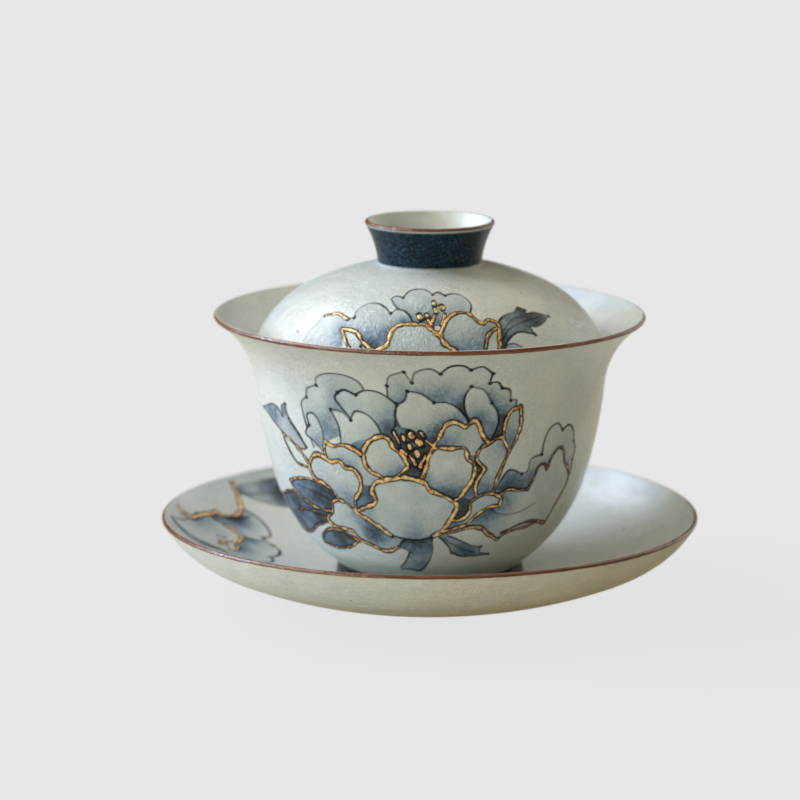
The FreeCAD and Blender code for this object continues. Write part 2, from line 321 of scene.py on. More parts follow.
def off_segment(x, y, a, b):
    """How far each place is from a straight piece, and how far along it the nearest point lies."""
    d = b - a
    share = np.clip(((x - a[0]) * d[0] + (y - a[1]) * d[1]) / max(d @ d, 1e-9), 0, 1)
    return np.hypot(x - a[0] - share * d[0], y - a[1] - share * d[1]), share


def distance(x, y, line):
    """How far each place is from a line."""
    return np.min([off_segment(x, y, a, b)[0] for a, b in zip(line, line[1:])], axis=0)


INK_WIDTH, GOLD_WIDTH = 0.42, 0.9
INK_STEP, GOLD_STEP, OUTLINE_STEP = 0.4, 0.3, 0.8  # between the points of an evenly spaced line
WASH_GRAIN, DARKENING_GRAIN = 2.6, 6.0
TAPER = -0.8, 1.4  # a brush line thins over this length at each end
GOLD_BED = 0.96, 0.13  # strength and softness of the ink under the gold


class Painting:
    """Ink and wash on a grid of (across, up) places, and the gold strokes laid over them."""

    def __init__(self, across, up, seed):
        self.x, self.y, self.seed = across, up, seed
        self.ink = np.zeros(across.shape)
        self.wash = np.zeros(across.shape)
        self.painted = np.zeros(across.shape, bool)
        self.gold = []
        self.count = 0

    def window(self, low, high):
        """The rows and columns of the grid between two corners."""
        cols = np.searchsorted(self.x[0], (low[0], high[0]))
        rising = self.y[-1, 0] > self.y[0, 0]
        ups = self.y[:, 0] if rising else -self.y[:, 0]
        rows = np.searchsorted(ups, (low[1], high[1]) if rising else (-high[1], -low[1]))
        return slice(*rows), slice(*cols)

    def streaks(self, x, y, centre):
        """Fine brush marks that run out from a place."""
        dx, dy = x - centre[0], y - centre[1]
        around = np.arctan2(dy, dx) * 7
        return 0.72 + 0.56 * cloud(around, np.hypot(dx, dy) * 0.3, 0.5, self.seed + self.count)

    def cover(self, line, tint, shades, behind, reach):
        """Lays a shape over the painting: what it hides goes, and what is just behind it darkens."""
        self.count += 1
        area = self.window(line.min(0) - 2.5 * reach, line.max(0) + 2.5 * reach)
        x, y = self.x[area], self.y[area]
        hit = inside(x, y, line)
        for stroke in self.gold:
            stroke["hidden"] |= inside(*stroke["line"].T, line)
        wash, ink, painted = self.wash[area], self.ink[area], self.painted[area]
        if behind:
            far = distance(x, y, evenly(np.vstack([line, line[:1]]), OUTLINE_STEP)[0])
            depth = behind * np.exp(-((far / reach) ** 1.3)) * self.streaks(x, y, line.mean(0))
            depth *= 0.05 + 1.05 * cloud(x, y, DARKENING_GRAIN, self.seed + 31)
            rear = painted & ~hit
            wash[rear] = np.clip(wash[rear] + depth[rear], 0, 1)
        value = (tint + 0.045) * (0.6 + 0.8 * cloud(x, y, WASH_GRAIN, self.seed + 17))
        for s, t, size, depth in shades:
            glow = np.exp(-((x - s) ** 2 + (y - t) ** 2) / size**2)
            value = value + 0.85 * depth * glow * self.streaks(x, y, (s, t))
        wash[hit] = np.clip(value, 0, 1)[hit]
        ink[hit] = 0
        painted |= hit

    def stroke(self, line, widths, strengths, soft):
        """Ink along a line, piece by piece."""
        for i in range(len(line) - 1):
            a, b = line[i], line[i + 1]
            margin = max(widths[i], widths[i + 1]) / 2 + soft
            area = self.window(np.minimum(a, b) - margin, np.maximum(a, b) + margin)
            x, y = self.x[area], self.y[area]
            if not x.size:
                continue
            far, share = off_segment(x, y, a, b)
            half = (widths[i] + (widths[i + 1] - widths[i]) * share) / 2
            strength = strengths[i] + (strengths[i + 1] - strengths[i]) * share
            mark = strength * (1 - ramp(far, half - soft / 2, half + soft))
            self.ink[area] = np.maximum(self.ink[area], mark)

    def wander(self, along, row, size, step):
        """Seeded variation between 0 and 1 along the present stroke."""
        return cloud(along, np.full_like(along, row), size, self.seed + step * self.count)

    def draw(self, points, width=0.4, strength=1.0, soft=0.16):
        """A line of the brush: it swells, thins and fades, and rests in a dot at each cusp."""
        self.count += 1
        line, along = evenly(smooth(points), INK_STEP)
        swell = 0.6 + 0.7 * self.wander(along, 0, 3.1, 7)
        fade = 0.62 + 0.55 * self.wander(along, 9, 4.7, 7)
        taper = np.minimum(ramp(along, *TAPER), ramp(along[-1] - along, *TAPER))
        widths = width * swell * (0.4 + 0.6 * taper)
        self.stroke(line, widths, np.clip(fade, 0, 1) * strength, soft)
        for point in points:
            if len(point) > 2:
                dot = np.array([point[:2], (point[0] + 0.1, point[1] - 0.1)])
                self.stroke(dot, np.full(2, width * 1.9), np.full(2, strength), soft)

    def gild(self, points, width):
        """A raised gold stroke, with dark ink showing along both of its edges."""
        self.count += 1
        line, along = evenly(smooth(points), GOLD_STEP)
        widths = width * (0.46 + 0.78 * self.wander(along, 0, 1.1, 11))
        dark_edges = 0.24 + 0.46 * self.wander(along, 5, 1.7, 13)
        self.stroke(line, widths + dark_edges, np.full(len(line), GOLD_BED[0]), GOLD_BED[1])
        aside = 0.34 * (self.wander(along, 3, 1.3, 19) - 0.5) * ramp(along, 0, 1)
        ahead = np.gradient(line, axis=0)
        ahead /= np.hypot(*ahead.T)[:, None] + 1e-9
        line = line + np.stack([-ahead[:, 1], ahead[:, 0]], axis=1) * aside[:, None]
        self.gold.append({"line": line, "widths": widths, "hidden": np.zeros(len(line), bool)})

    def petal(self, edge, pen, tint, shades=(), width=None, behind=0, reach=2.2):
        """One petal or leaf: it covers what is behind it, is washed, and gets its outline."""
        self.cover(smooth(edge), tint, shades, behind, reach)
        if pen == "ink":
            self.draw(edge, width or INK_WIDTH)
        elif pen == "gold":
            self.gild(edge, width or GOLD_WIDTH)

    def stamens(self, strokes):
        """Short gold dabs, each from one place to another."""
        for s0, t0, s1, t1, width in strokes:
            self.gild([(s0, t0), ((s0 + s1) / 2 + 0.12, (t0 + t1) / 2), (s1, t1)], width)


def back_petals(art):
    """Petals at the back of the flower, in ink."""
    art.petal([(-28, 40), (-29.4, 45), (-30.2, 48.2), (-30.3, 50.4), (-28.6, 51.8, C), (-28, 53.8),
        (-25.1, 55.1, C), (-24.6, 56.8), (-21.8, 58.3), (-17.6, 58.5), (-14.6, 57.1), (-13.5, 54.6, C),
        (-14.4, 49), (-20, 44)], "ink", 0.04, [(-22.5, 45, 3.2, 0.3)])
    art.petal([(-7, 47), (-8.6, 53), (-8.7, 56.6, C), (-8, 58.9), (-5, 60.3, C), (-3.6, 57.6, C),
        (-2.8, 60.1), (0, 61.2), (2, 59.9, C), (3.8, 61.8), (6.2, 61.9), (7.7, 60.8, C), (9.8, 61.5),
        (12.3, 59.6, C), (12.1, 57.2, C), (13.8, 57.3), (15, 55.8, C), (16.8, 55.2), (17.4, 52.7, C),
        (18.7, 52.6), (18.3, 49), (16.8, 44), (14, 42)], "ink", 0.03, [(7.2, 50.5, 3, 0.6),
        (14.2, 45.8, 3, 0.9), (9.6, 50.6, 2.4, 0.35), (2.6, 54.6, 3.2, 0.42)])
    art.petal([(-17.6, 46), (-17.2, 48.2, C), (-19.8, 51), (-20.8, 52.6), (-20, 54, C), (-18.2, 54.8),
        (-15.8, 53.9, C), (-13.6, 55.1), (-10.6, 54.9), (-7.1, 52.5, C), (-6.8, 50.4), (-7.4, 47.4),
        (-8, 43)], "ink", 0.03, [(-9, 46.4, 2.8, 0.5)], behind=0.25)
    art.petal([(-25.2, 39.4), (-27.6, 41.6), (-29.9, 43.2), (-28.6, 45.4, C), (-28.9, 47.7), (-27, 48.2),
        (-25.2, 45.6), (-24.8, 42.2), (-25.2, 39.4)], "ink", 0.05, [(-27, 41, 2.4, 0.3)], behind=0.15)
    art.petal([(-20.2, 41), (-20.4, 46), (-22.2, 49.8, C), (-19.4, 49.5), (-17.4, 47.9, C), (-16.2, 50),
        (-13.4, 49.4), (-11, 46.6), (-10.2, 43)], "ink", 0.03, [(-12.4, 42.6, 3.6, 0.2)], behind=0.5,
        reach=2.6)
    art.petal([(-3.6, 45), (-6.4, 47.3), (-7.3, 49.7), (-6.9, 52.2, C), (-5.2, 53.3), (-4.6, 55.5, C),
        (-1.8, 54.9), (0.8, 52.9, C), (3.9, 52.7), (6.7, 50.6), (8.3, 47.6), (7, 45)], "ink", 0.04,
        [(0, 45, 3, 0.3)], behind=0.55, reach=2.4)
    art.petal([(10, 46), (7.6, 50.4), (7.2, 54), (8.4, 56.6, C), (11.2, 55.4), (13.1, 52.4, C),
        (14.5, 50.2), (14.8, 47.4), (13.4, 44)], "ink", 0.04, [(10.4, 48.4, 2.6, 0.4)], behind=0.55,
        reach=2.2)


def flower_heart(art):
    """A wash that shows between the inner petals, and the almost black heart."""
    art.petal([(-18, 24), (-21, 30), (-18.6, 37), (-18, 42), (-8, 44.6), (8, 44), (14, 40), (13.4, 32),
        (11, 26), (4, 22), (-12, 21), (-18, 24)], "none", 0.42, [(-9, 43, 5, 0.3), (-15, 27, 4, 0.2)])
    art.petal([(-8.9, 45), (-7.4, 46.7), (-4.2, 46.7), (-1.8, 45.2), (0, 43), (-0.6, 40), (-1.4, 36.6),
        (-3, 34.6), (-4.6, 37.6), (-6.4, 41.2), (-8.9, 45)], "none", 0.84, behind=0.2, reach=1.4)


def front_petals(art):
    """Petals in front, edged with gold, and the stamens."""
    art.petal([(-15, 36), (-15.2, 39.6), (-17, 41.1), (-20, 41.8), (-22.6, 41.3), (-24.6, 42.1, C),
        (-24.9, 39.8), (-24.2, 36)], "gold", 0.05, [(-17.4, 38, 2.2, 0.1)], 0.8, behind=0.3)
    art.petal([(-17, 36), (-15, 40), (-12.6, 36.6), (-11.6, 33.6), (-16, 33), (-17, 36)], "none", 0.06)
    art.petal([(-4.7, 38), (-6.4, 41), (-8, 42.2), (-8.8, 44.1), (-10.6, 44.7), (-13.2, 43.3), (-14.7, 41),
        (-14.7, 38), (-13.4, 36, C), (-11.8, 35.5), (-10.2, 34.7), (-7.2, 35.6), (-4.7, 38)], "gold", 0.07,
        [(-6.4, 37.4, 2.4, 0.2)], 0.85, behind=0.12)
    art.petal([(-18.8, 26), (-18.4, 28.6), (-16.8, 31.2), (-16.2, 33.8), (-17.6, 36.2), (-20, 36.6, C),
        (-21.2, 37.9), (-23.4, 37.4), (-25.4, 38.2), (-27.4, 38.6), (-29.4, 37.2), (-30.4, 35.2),
        (-29.6, 33), (-26, 31.4)], "gold", 0.05, [(-20, 29, 2.6, 0.35)], 0.8, behind=0.5)
    art.petal([(0.8, 40), (0.9, 42.8), (2.2, 45.2), (3.4, 47.6), (5.2, 48.3), (7.6, 47.1, C), (9.7, 48.6),
        (10.9, 46.6), (11.7, 44.6), (13, 43, C), (12.6, 40.6)], "gold", 0.1, [(2.8, 43, 2.6, 0.25)], 0.85,
        behind=0.6, reach=2.4)
    art.petal([(14.9, 30.6), (15.5, 34), (16.8, 37.8), (17.8, 41), (17, 43.8), (14.9, 44.2),
        (12.9, 42.8, C), (11.3, 42.2), (10.3, 39.6), (12.5, 37, C), (11.1, 34.6), (10.6, 32.2), (11.6, 30)],
        "gold", 0.07, [(12.8, 31.6, 2.8, 0.4)], 0.7, behind=0.6)
    art.petal([(17.9, 40.6), (16.4, 44), (16.5, 47.6), (17.6, 50), (20, 51.1, C), (20.3, 46.6), (19.2, 43),
        (17.9, 40.6)], "gold", 0.2, [(18.2, 43.4, 2.4, 0.3)], 0.62, behind=0.4)
    art.petal([(-1.8, 35.2), (-0.7, 38.2), (-0.1, 40.8), (1.2, 42.4), (4.2, 42.2), (7.6, 42.1),
        (8.4, 39.4, C), (10, 38), (9.8, 35), (8.4, 32.4), (6, 30), (1, 29)], "gold", 0.08,
        [(6.8, 31.4, 3.4, 0.4)], 0.9, behind=0.5)
    art.stamens((
        (-7.8, 46, -6.5, 43.1, 0.95), (-4.4, 45.8, -3.5, 44.5, 1.35), (-3, 44.2, -1.7, 42.9, 1.25),
        (-4.6, 43.2, -4.3, 41.9, 1.25), (-0.9, 44.2, 0.6, 42.7, 0.8), (-3, 41.8, -2.6, 40, 1.15),
        (-4.5, 40.8, -3.1, 38.2, 0.9), (-6.4, 41.8, -4.9, 40.5, 0.8), (-1, 40.8, -2.2, 37.6, 0.85),
        (-5.9, 45.2, -5.4, 43.8, 0.8), (-2.1, 46, -1.3, 45, 0.8),
    ))


def dark_leaves(art):
    """Dark leaves, low on the left; the long one runs on round the bowl."""
    art.petal([(-27, 22.6), (-34, 20.6), (-40, 17.9), (-50, 16.6), (-60, 18), (-67, 21, C), (-60, 23.8),
        (-50, 25.2), (-41, 27.6), (-34, 28), (-27, 25)], "gold", 0.64, [(-36, 22, 8, 0.2)], 0.42)
    art.draw([(-30, 23.4), (-38, 23.6), (-48, 21.4), (-60, 21)], 0.4, 0.8)
    art.gild([(-28, 22.8), (-34, 24.2), (-40, 23.6)], 0.3)
    art.petal([(-21.6, 26.4), (-25, 30.7), (-30, 32), (-35.6, 31.6), (-40.6, 30.1, C), (-38.2, 27.6),
        (-34, 25.9), (-28, 25), (-21.6, 26.4)], "gold", 0.62, [(-28, 28.6, 6, 0.22)], 0.55, behind=0.2)
    art.draw([(-24, 27.4), (-30, 29), (-38, 29.9)], 0.3, 0.75)
    art.draw([(-24, 28.8), (-29, 30.6), (-34, 31)], 0.22, 0.6)
    art.petal([(-20.4, 18.3), (-23.6, 20), (-28.4, 20.4), (-33.4, 18.4), (-36.6, 15.7, C), (-30, 15.2),
        (-25, 16.2), (-20.4, 18.3)], "gold", 0.78, [(-26, 18, 4, 0.2)], 0.48)


def left_bud(art):
    """The bud on the left."""
    art.petal([(-38, 41.6), (-41.2, 43.2), (-44.6, 44.8), (-48, 46, C), (-45, 47), (-42, 47.9),
        (-39.4, 47.5), (-37.8, 46, C), (-37.8, 48.2), (-36.2, 49, C), (-35.6, 46.6), (-33, 43.4),
        (-30.6, 39.6), (-33, 39)], "ink", 0.2, [(-42.5, 46, 3.6, 0.42), (-36.6, 47.6, 1.4, 0.5)], 0.4)
    art.gild([(-39, 41.7), (-35.4, 40.4), (-32.4, 38.2), (-30.2, 35.6)], 0.6)
    art.gild([(-35.4, 45.6), (-32.8, 43), (-30.4, 39.8)], 0.42)
    art.gild([(-38.6, 40.6), (-37.2, 38.2), (-35, 35.6), (-31.2, 34.9)], 0.42)


def long_petal(art):
    """The long petal on the right: an ink edge behind, a fine gold one in front."""
    art.petal([(14, 28), (16.6, 34), (18.6, 36.3), (21.9, 35, C), (23.4, 35.4), (24, 38.2), (26.9, 39, C),
        (27.2, 42.2), (28.4, 44.8), (30.8, 45.7), (32.6, 43.9, C), (34.8, 44.7), (36.8, 43.1),
        (37.7, 40.4, C), (39, 38.4), (38.8, 35.8, C), (39.2, 32), (36, 27)], "ink", 0.04,
        [(18.6, 32.6, 3.6, 0.75), (23.4, 33, 2.6, 0.35)])
    art.petal([(13.6, 29.8), (17, 30.4), (18.6, 31.6), (21.6, 31.1), (24.5, 31, C), (25.8, 33.6),
        (26.6, 36.1), (28.2, 36.5), (29.4, 35.1, C), (30.4, 37.9), (32.2, 39.7), (33.8, 39.2),
        (35.3, 35.9, C), (38, 33.4), (38.9, 31), (37.7, 27.8), (36, 25), (34.8, 21, C), (31, 21.9),
        (28, 21.3, C), (24, 21), (21, 20.4), (19, 19.1), (16, 20.8), (13, 22.8), (9.6, 23)], "gold", 0.05,
        [(13.4, 26.6, 4.4, 0.62), (19.5, 28.6, 2.6, 0.3)], 0.46, behind=0.4)
    art.draw([(14.4, 27.4), (18, 25.6), (23, 25.5), (28, 27.2)], 0.3, 0.75)
    art.gild([(19.6, 20.6), (24, 22.1), (29, 22.6), (33, 21.8)], 0.3)
    art.petal([(5, 25.6), (8.4, 25.6), (9.8, 28), (9.6, 29.8), (6.2, 30)], "none", 0.92)
    art.petal([(3, 25), (8, 25.1), (9.6, 26.8), (9.8, 29.1), (12, 30.7), (15, 30.9), (17.3, 29.6),
        (17.1, 27.9, C), (14, 27.5), (11.4, 25.8), (9.2, 23.8), (6, 22.7), (2, 22)], "gold", 0.12,
        [(6.4, 24, 2.4, 0.3)], 0.75, behind=0.35, reach=1.4)
    art.gild([(2, 21.3), (6, 22), (10, 22.8), (13.4, 22.2), (15.8, 20.5), (18.4, 19.2)], 0.5)


def low_petal_and_stem(art):
    """A petal low on the left, then the stem and the leaf below."""
    art.petal([(-18.8, 26.2), (-22.2, 28.2), (-25, 27.6), (-26, 25), (-28.4, 23.1), (-27.4, 21.6),
        (-24.4, 21.2), (-21.2, 20.9, C), (-19.8, 18.9), (-16.8, 17.7), (-12.8, 16.3), (-9, 17.5),
        (-5.8, 20.2)], "gold", 0.06, [(-14.8, 21.2, 3.4, 0.85)], 0.7, behind=0.3)
    art.petal([(-4.8, 20.6), (-5.6, 17), (-7.4, 13.8), (-10, 11.4), (-6.4, 11.3), (-3.2, 11), (-0.8, 13),
        (0.7, 16.2), (0.6, 20.8)], "ink", 0.36, [(-3, 19.4, 3.4, 0.4), (-6, 13, 2, -0.16)], 0.42)
    art.petal([(-4.8, 20.4), (-6.4, 19.8), (-8.6, 17.8, C), (-6.6, 17), (-4.8, 16)], "ink", 0.55, (), 0.42)
    art.petal([(2, 21), (4.8, 18.4), (6.2, 16.3, C), (9, 15.2), (13, 14.9), (18, 15.1, C), (14.8, 16),
        (14.6, 17.5, C), (12, 17.9), (8, 19.6), (4.6, 21)], "ink", 0.3, [(10.5, 16, 3.4, 0.4)], 0.4)
    art.draw([(3.4, 20.4), (8, 17.6), (13.6, 15.8)], 0.3, 0.9)


def big_petal(art):
    """The big petal in front of all."""
    big = [(-10, 20.6), (-14, 23.3), (-18.9, 26, C), (-16.4, 27.1), (-13.9, 28.1), (-12.9, 29.6),
        (-13.7, 31.6), (-12.4, 33.6), (-9, 34.5), (-5, 35.1), (-1.2, 34.1), (0.1, 32.4), (2.2, 31.4),
        (4.6, 30.3), (6.4, 28.7), (5.9, 26.6), (4.8, 24.6), (3.2, 22.4), (0.6, 20.7)]
    art.petal(big + [(-4, 19.9), (-10, 20.6)], "none", 0.1, [(-4, 20.4, 3.6, 0.34), (-15.4, 25.8, 2, 0.25)],
        behind=0.62)
    art.draw([(-10.4, 20.7), (-4, 19.8), (1, 20.7)], 0.5)
    art.gild(big, 1)


def paint_bowl(art):
    """A full peony round the front of the bowl; across is wall length, up is height."""
    for layer in (
        back_petals, flower_heart, front_petals, dark_leaves,
        left_bud, long_petal, low_petal_and_stem, big_petal,
    ):
        layer(art)


def paint_lid(art):
    """A half flower rising from the lid's edge; up is length from the edge."""
    art.petal([(-9, 12), (-9.3, 16.9, C), (-11.6, 19.2), (-12.8, 20.8), (-11.8, 21.8), (-9.1, 21.4, C),
        (-7.6, 24.3), (-4, 25.3), (-1, 24.6), (1, 22.9, C), (3, 23.9), (5.4, 22.5, C), (8.6, 23.2),
        (11.4, 22), (12.8, 19), (11.6, 16), (9, 12)], "ink", 0.05, [(0.6, 14, 4.2, 0.4), (-8, 14, 3, 0.2),
        (8, 17, 3, 0.15)], 0.5)
    art.petal([(-15, 3), (-20, 7), (-23, 10.2), (-22.6, 12.6), (-20.9, 13.3, C), (-21.3, 15.6), (-19.4, 18),
        (-16.4, 18.5), (-13.4, 17.3), (-11, 15.5, C), (-9.6, 16.7), (-7.2, 16.4), (-5, 14.2), (-4.4, 12),
        (-7, 4)], "ink", 0.06, [(-12.4, 8, 4.4, 0.4), (-6.4, 12.2, 2.4, 0.4)], 0.5, behind=0.3)
    art.petal([(15, 1), (15.8, 7), (17.8, 11.8), (21, 14.1), (25, 14.9), (27.4, 16.2), (28.8, 15, C),
        (28.2, 14), (31.6, 13.7), (35.4, 12.1, C), (31.6, 10.6), (28.4, 9.9), (26.9, 10.3), (27, 8.1, C),
        (25.6, 8.6), (22.4, 9.2), (19, 7.4), (17, 4.4), (18, 1)], "ink", 0.42, [(30, 12.6, 3.6, 0.6),
        (27.4, 15, 1.6, 0.5), (18, 6, 3, 0.3)], 0.46)
    art.draw([(16.6, 6.4), (20, 10), (25, 11.6), (32, 12.4)], 0.34, 0.95)
    art.draw([(18, 9.4), (22, 12.4), (27, 13.4)], 0.26, 0.8)
    art.petal([(16, -1), (17.6, 5.6), (19.8, 6.6), (22.6, 4.6), (24, 1), (22, -2)], "ink", 0.1,
        [(18, 2, 3, 0.5)], 0.42)
    art.petal([(-19, -2), (-32, -1), (-32.4, 6), (-30.4, 12.6), (-26.6, 13.8), (-22.6, 12.6)], "none", 0.05,
        [(-22, 7, 4, 0.25)])
    art.draw([(-32, -1), (-32.4, 6), (-30.6, 12)], 0.3, 0.4)
    art.gild([(-30.4, 12.7), (-26.6, 13.8), (-22.4, 12.5)], 0.75)
    art.petal([(-22.8, 9.9), (-18.6, 9.4), (-15.6, 6.8), (-12, 4.2), (-9, -1), (-15, -2), (-18, 4),
        (-22.8, 9.9)], "gold", 0.06, [(-13, 2, 3, 0.4)], 0.72, behind=0.45)
    art.draw([(-16.4, 6.3), (-16.2, 6, C), (-13.8, 1)], 0.34)
    art.petal([(2.2, 9), (3.6, 12), (5.4, 14.6), (8.2, 15.9), (10.8, 15.4), (12.8, 12.8, C), (14, 12.1, C),
        (15.6, 13.2), (17.8, 12), (17, 8), (14.5, 0), (8, -2), (5, 3)], "gold", 0.06, [(9, 7, 4, 0.22)],
        0.8, behind=0.3)
    art.petal([(12.4, -1), (12.6, 5), (14.6, 9.4), (17.4, 10.6), (16.2, 6), (15.2, 0)], "gold", 0.07, (),
        0.7, behind=0.4)
    art.stamens((
        (-3, 15.4, -2.2, 14, 1.5), (1.2, 20, 1.5, 18.6, 1.5), (3.5, 18.4, 3.8, 17, 1.5),
        (-1, 15.6, -0.4, 14.6, 1), (1.4, 17.6, 1.8, 16, 1), (1.3, 15.6, 0.6, 13, 0.6),
        (-0.6, 14, 1, 11.4, 0.6), (4.2, 15.6, 2.9, 12.2, 0.75),
    ))
    art.petal([(-15, -2), (-13, 4.6), (-10, 6.6), (-9.3, 10.6), (-7.4, 12.1), (-4, 12.5), (-1, 12.2),
        (0.8, 10.6), (2.4, 9.4), (3.4, 7.4), (6.2, 5), (9, -2)], "gold", 0.07, [(-3, 1, 5, 0.2)], 1.05,
        behind=0.4)


def paint_saucer(art):
    """A half flower rising from the saucer's rim towards the bowl; up is distance in from the rim."""
    art.petal([(-10.4, 1.2), (-14, 3), (-18, 6.4), (-22, 8.6), (-28, 8.2), (-33, 5, C), (-27, 1.4),
        (-20, 0.6), (-14, 0.4), (-10.4, 1.2)], "none", 0.15, [(-25.6, 5, 6, 1.05), (-11, 2.4, 3.2, 0.6)])
    art.draw([(-14, 3), (-18, 6.4), (-22, 8.6), (-28, 8.2), (-33, 5, C), (-27, 1.4), (-20, 0.6)], 0.4, 0.8)
    art.draw([(-12, 2), (-18, 3.2), (-30, 4.8)], 0.4, 0.7)
    art.petal([(-0.8, 13), (-0.6, 17.6), (0.6, 20.2, C), (2, 22), (5, 23.2), (8.6, 23.4), (11.9, 22.3, C),
        (14, 23.2), (17.2, 22.8), (19.8, 20.9, C), (21.6, 20.4), (22.4, 17.6), (20, 12), (10, 8)], "ink",
        0.02, [(3, 14, 4, 0.58), (11, 14.6, 4, 0.42), (18, 16.4, 3.4, 0.15)], 0.7)
    art.petal([(-10.2, 6), (-10.5, 10), (-9.2, 13), (-6.9, 15.7), (-4.4, 17), (-2.2, 16.6, C), (-0.4, 17),
        (1.8, 15.2), (2.6, 12), (2, 5), (-6, 3)], "ink", 0.03, [(-4.4, 8, 3.6, 0.85), (0.8, 4.6, 3, 0.4)],
        0.75, behind=0.25)
    edge = [(1.4, 8), (1.9, 10.8), (3.8, 13.2), (7, 13.7, C), (9, 12.8), (11, 14.3), (13.6, 14.7, C),
        (15.8, 13.3)]
    art.petal(edge + [(17.7, 11.2), (18.6, 6), (14, 1), (4, 1)], "none", 0.03, [(6, 5, 4, 0.25)],
        behind=0.4)
    art.gild(edge, 1.1)
    art.stamens(((10.8, 11.6, 12.2, 10.4, 1.4), (13.4, 11.9, 14.4, 10.8, 1.2), (8.4, 10.6, 9.4, 9.2, 1.1)))
    art.petal([(19, 12.4), (20.8, 9), (20.9, 5), (19.4, 0.6), (17.6, 0), (18.4, 5), (18.2, 9.4),
        (19, 12.4)], "ink", 0.4, (), 0.5)
    art.petal([(-12.8, -2), (-12.2, 1.4), (-10.8, 4), (-8.6, 6.1), (-6, 6.7), (-3.4, 5.9), (-1.6, 4.2, C),
        (1.2, 3.9), (4.2, 3.2), (8.8, 2.4), (10.4, -2)], "gold", 0, (), 1.1, behind=0.5, reach=1.8)
    art.draw([(-8.6, 8.4), (-4.6, 7.9), (-1.6, 5.8), (1.4, 4.4)], 1.4, 0.9, 0.5)
    art.draw([(9.4, 2.4), (12.6, 2), (16.4, 0.6)], 0.6, 0.7)


# ---------------------------------------------------------------- painted faces


class Face:
    """The painted face of a turned piece: it turns (across, up) into a place on the glaze."""

    def __init__(self, turned, rows, across_of, up, centre=0.0):
        self.turned, self.rows, self.up, self.centre = turned, rows, up, centre
        self.across_of = across_of  # millimetres across for each radian
        self.outline = turned.section.rows[rows]
        ahead = np.gradient(self.outline, axis=0)
        length = np.hypot(*ahead.T)
        self.normal = np.stack([ahead[:, 1], -ahead[:, 0]], axis=1) / length[:, None]

    def grid(self, low, high):
        """(across, up) for every painted vertex, and which vertices those are."""
        azimuths = self.turned.azimuths
        turned_away = (azimuths - self.centre + math.pi) % (2 * math.pi) - math.pi
        across = turned_away * self.across_of
        cols = np.where((across > low) & (across < high))[0]
        cols = cols[np.argsort(across[cols])]
        vertices = self.turned.starts[self.rows][:, None] + cols[None, :]
        return (
            np.broadcast_to(across[cols], vertices.shape),
            np.broadcast_to(self.up[:, None], vertices.shape),
            vertices,
        )

    def place(self, line):
        """Points of a line on the glaze, and the direction straight out of it."""
        order = np.argsort(self.up)
        ups = self.up[order]
        radius, height, out_r, out_z = (
            np.interp(line[:, 1], ups, values[order])
            for values in (*self.outline.T, *self.normal.T)
        )
        angle = line[:, 0] / self.across_of + self.centre
        spin = np.stack([np.sin(angle), -np.cos(angle)], axis=1)
        points = np.column_stack([spin * radius[:, None], height])
        outward = np.column_stack([spin * out_r[:, None], out_z])
        return by_hand(points, self.turned.body), outward


GOLD_HEIGHT = 0.14
GOLD_SINK = 0.06
GOLD_FULL = 0.35  # half a stroke's width from which it stands at its full height
CLEAR_OF_EDGE = 0.3  # no gold lies nearer to the end of its face
END_STEP, END_LENGTH = 0.35, 0.4  # a stroke's end is rounded off over this length
FEWEST_POINTS = 3
ARCH = np.linspace(0, math.pi, 7)


def ridge(face, path, widths):
    """One gold stroke as a half-round ridge: its places, how worn each is, which also puts the painted
    highlight on its top, and its faces.
    """
    points, outward = face.place(path)
    ahead = np.gradient(points, axis=0)
    ahead /= np.linalg.norm(ahead, axis=1)[:, None]
    side = np.cross(ahead, outward)
    count = len(path)
    from_end = np.minimum(np.arange(count), np.arange(count)[::-1]) * END_STEP
    round_off = np.sqrt(np.clip(1 - (1 - np.clip(from_end / END_LENGTH, 0, 1)) ** 2, 0.03, 1))
    half = widths / 2 * (0.35 + 0.65 * round_off)
    lump = 0.5 + 1.0 * cloud(path[:, 0], path[:, 1], 0.7, 404)
    thin = ramp(-widths, -0.75, -0.25)
    rise = GOLD_HEIGHT * np.minimum(1, half / GOLD_FULL) * round_off * lump
    verts, wear_and_sheen, faces = [], [], []
    for i in range(count):
        for angle in ARCH:
            aside = side[i] * half[i] * math.cos(angle)
            verts.append(points[i] + aside + outward[i] * (rise[i] * math.sin(angle) - 0.01))
            # the top of the ridge is kept least worn, so the painted highlight of the gold falls there
            wear_and_sheen.append(0.7 * abs(math.cos(angle)) ** 2.5 + 0.6 * thin[i])
        for way in (-1, 1):
            verts.append(points[i] + way * side[i] * half[i] * 0.9 - outward[i] * GOLD_SINK)
            wear_and_sheen.append(1.0)
    ring = len(ARCH) + 2
    for i in range(count - 1):
        for k in range(ring):
            a, b = i * ring + k, i * ring + (k + 1) % ring
            faces.append((a, b, b + ring, a + ring))
    faces.append(tuple(range(ring))[::-1])
    faces.append(tuple((count - 1) * ring + k for k in range(ring)))
    return verts, wear_and_sheen, faces


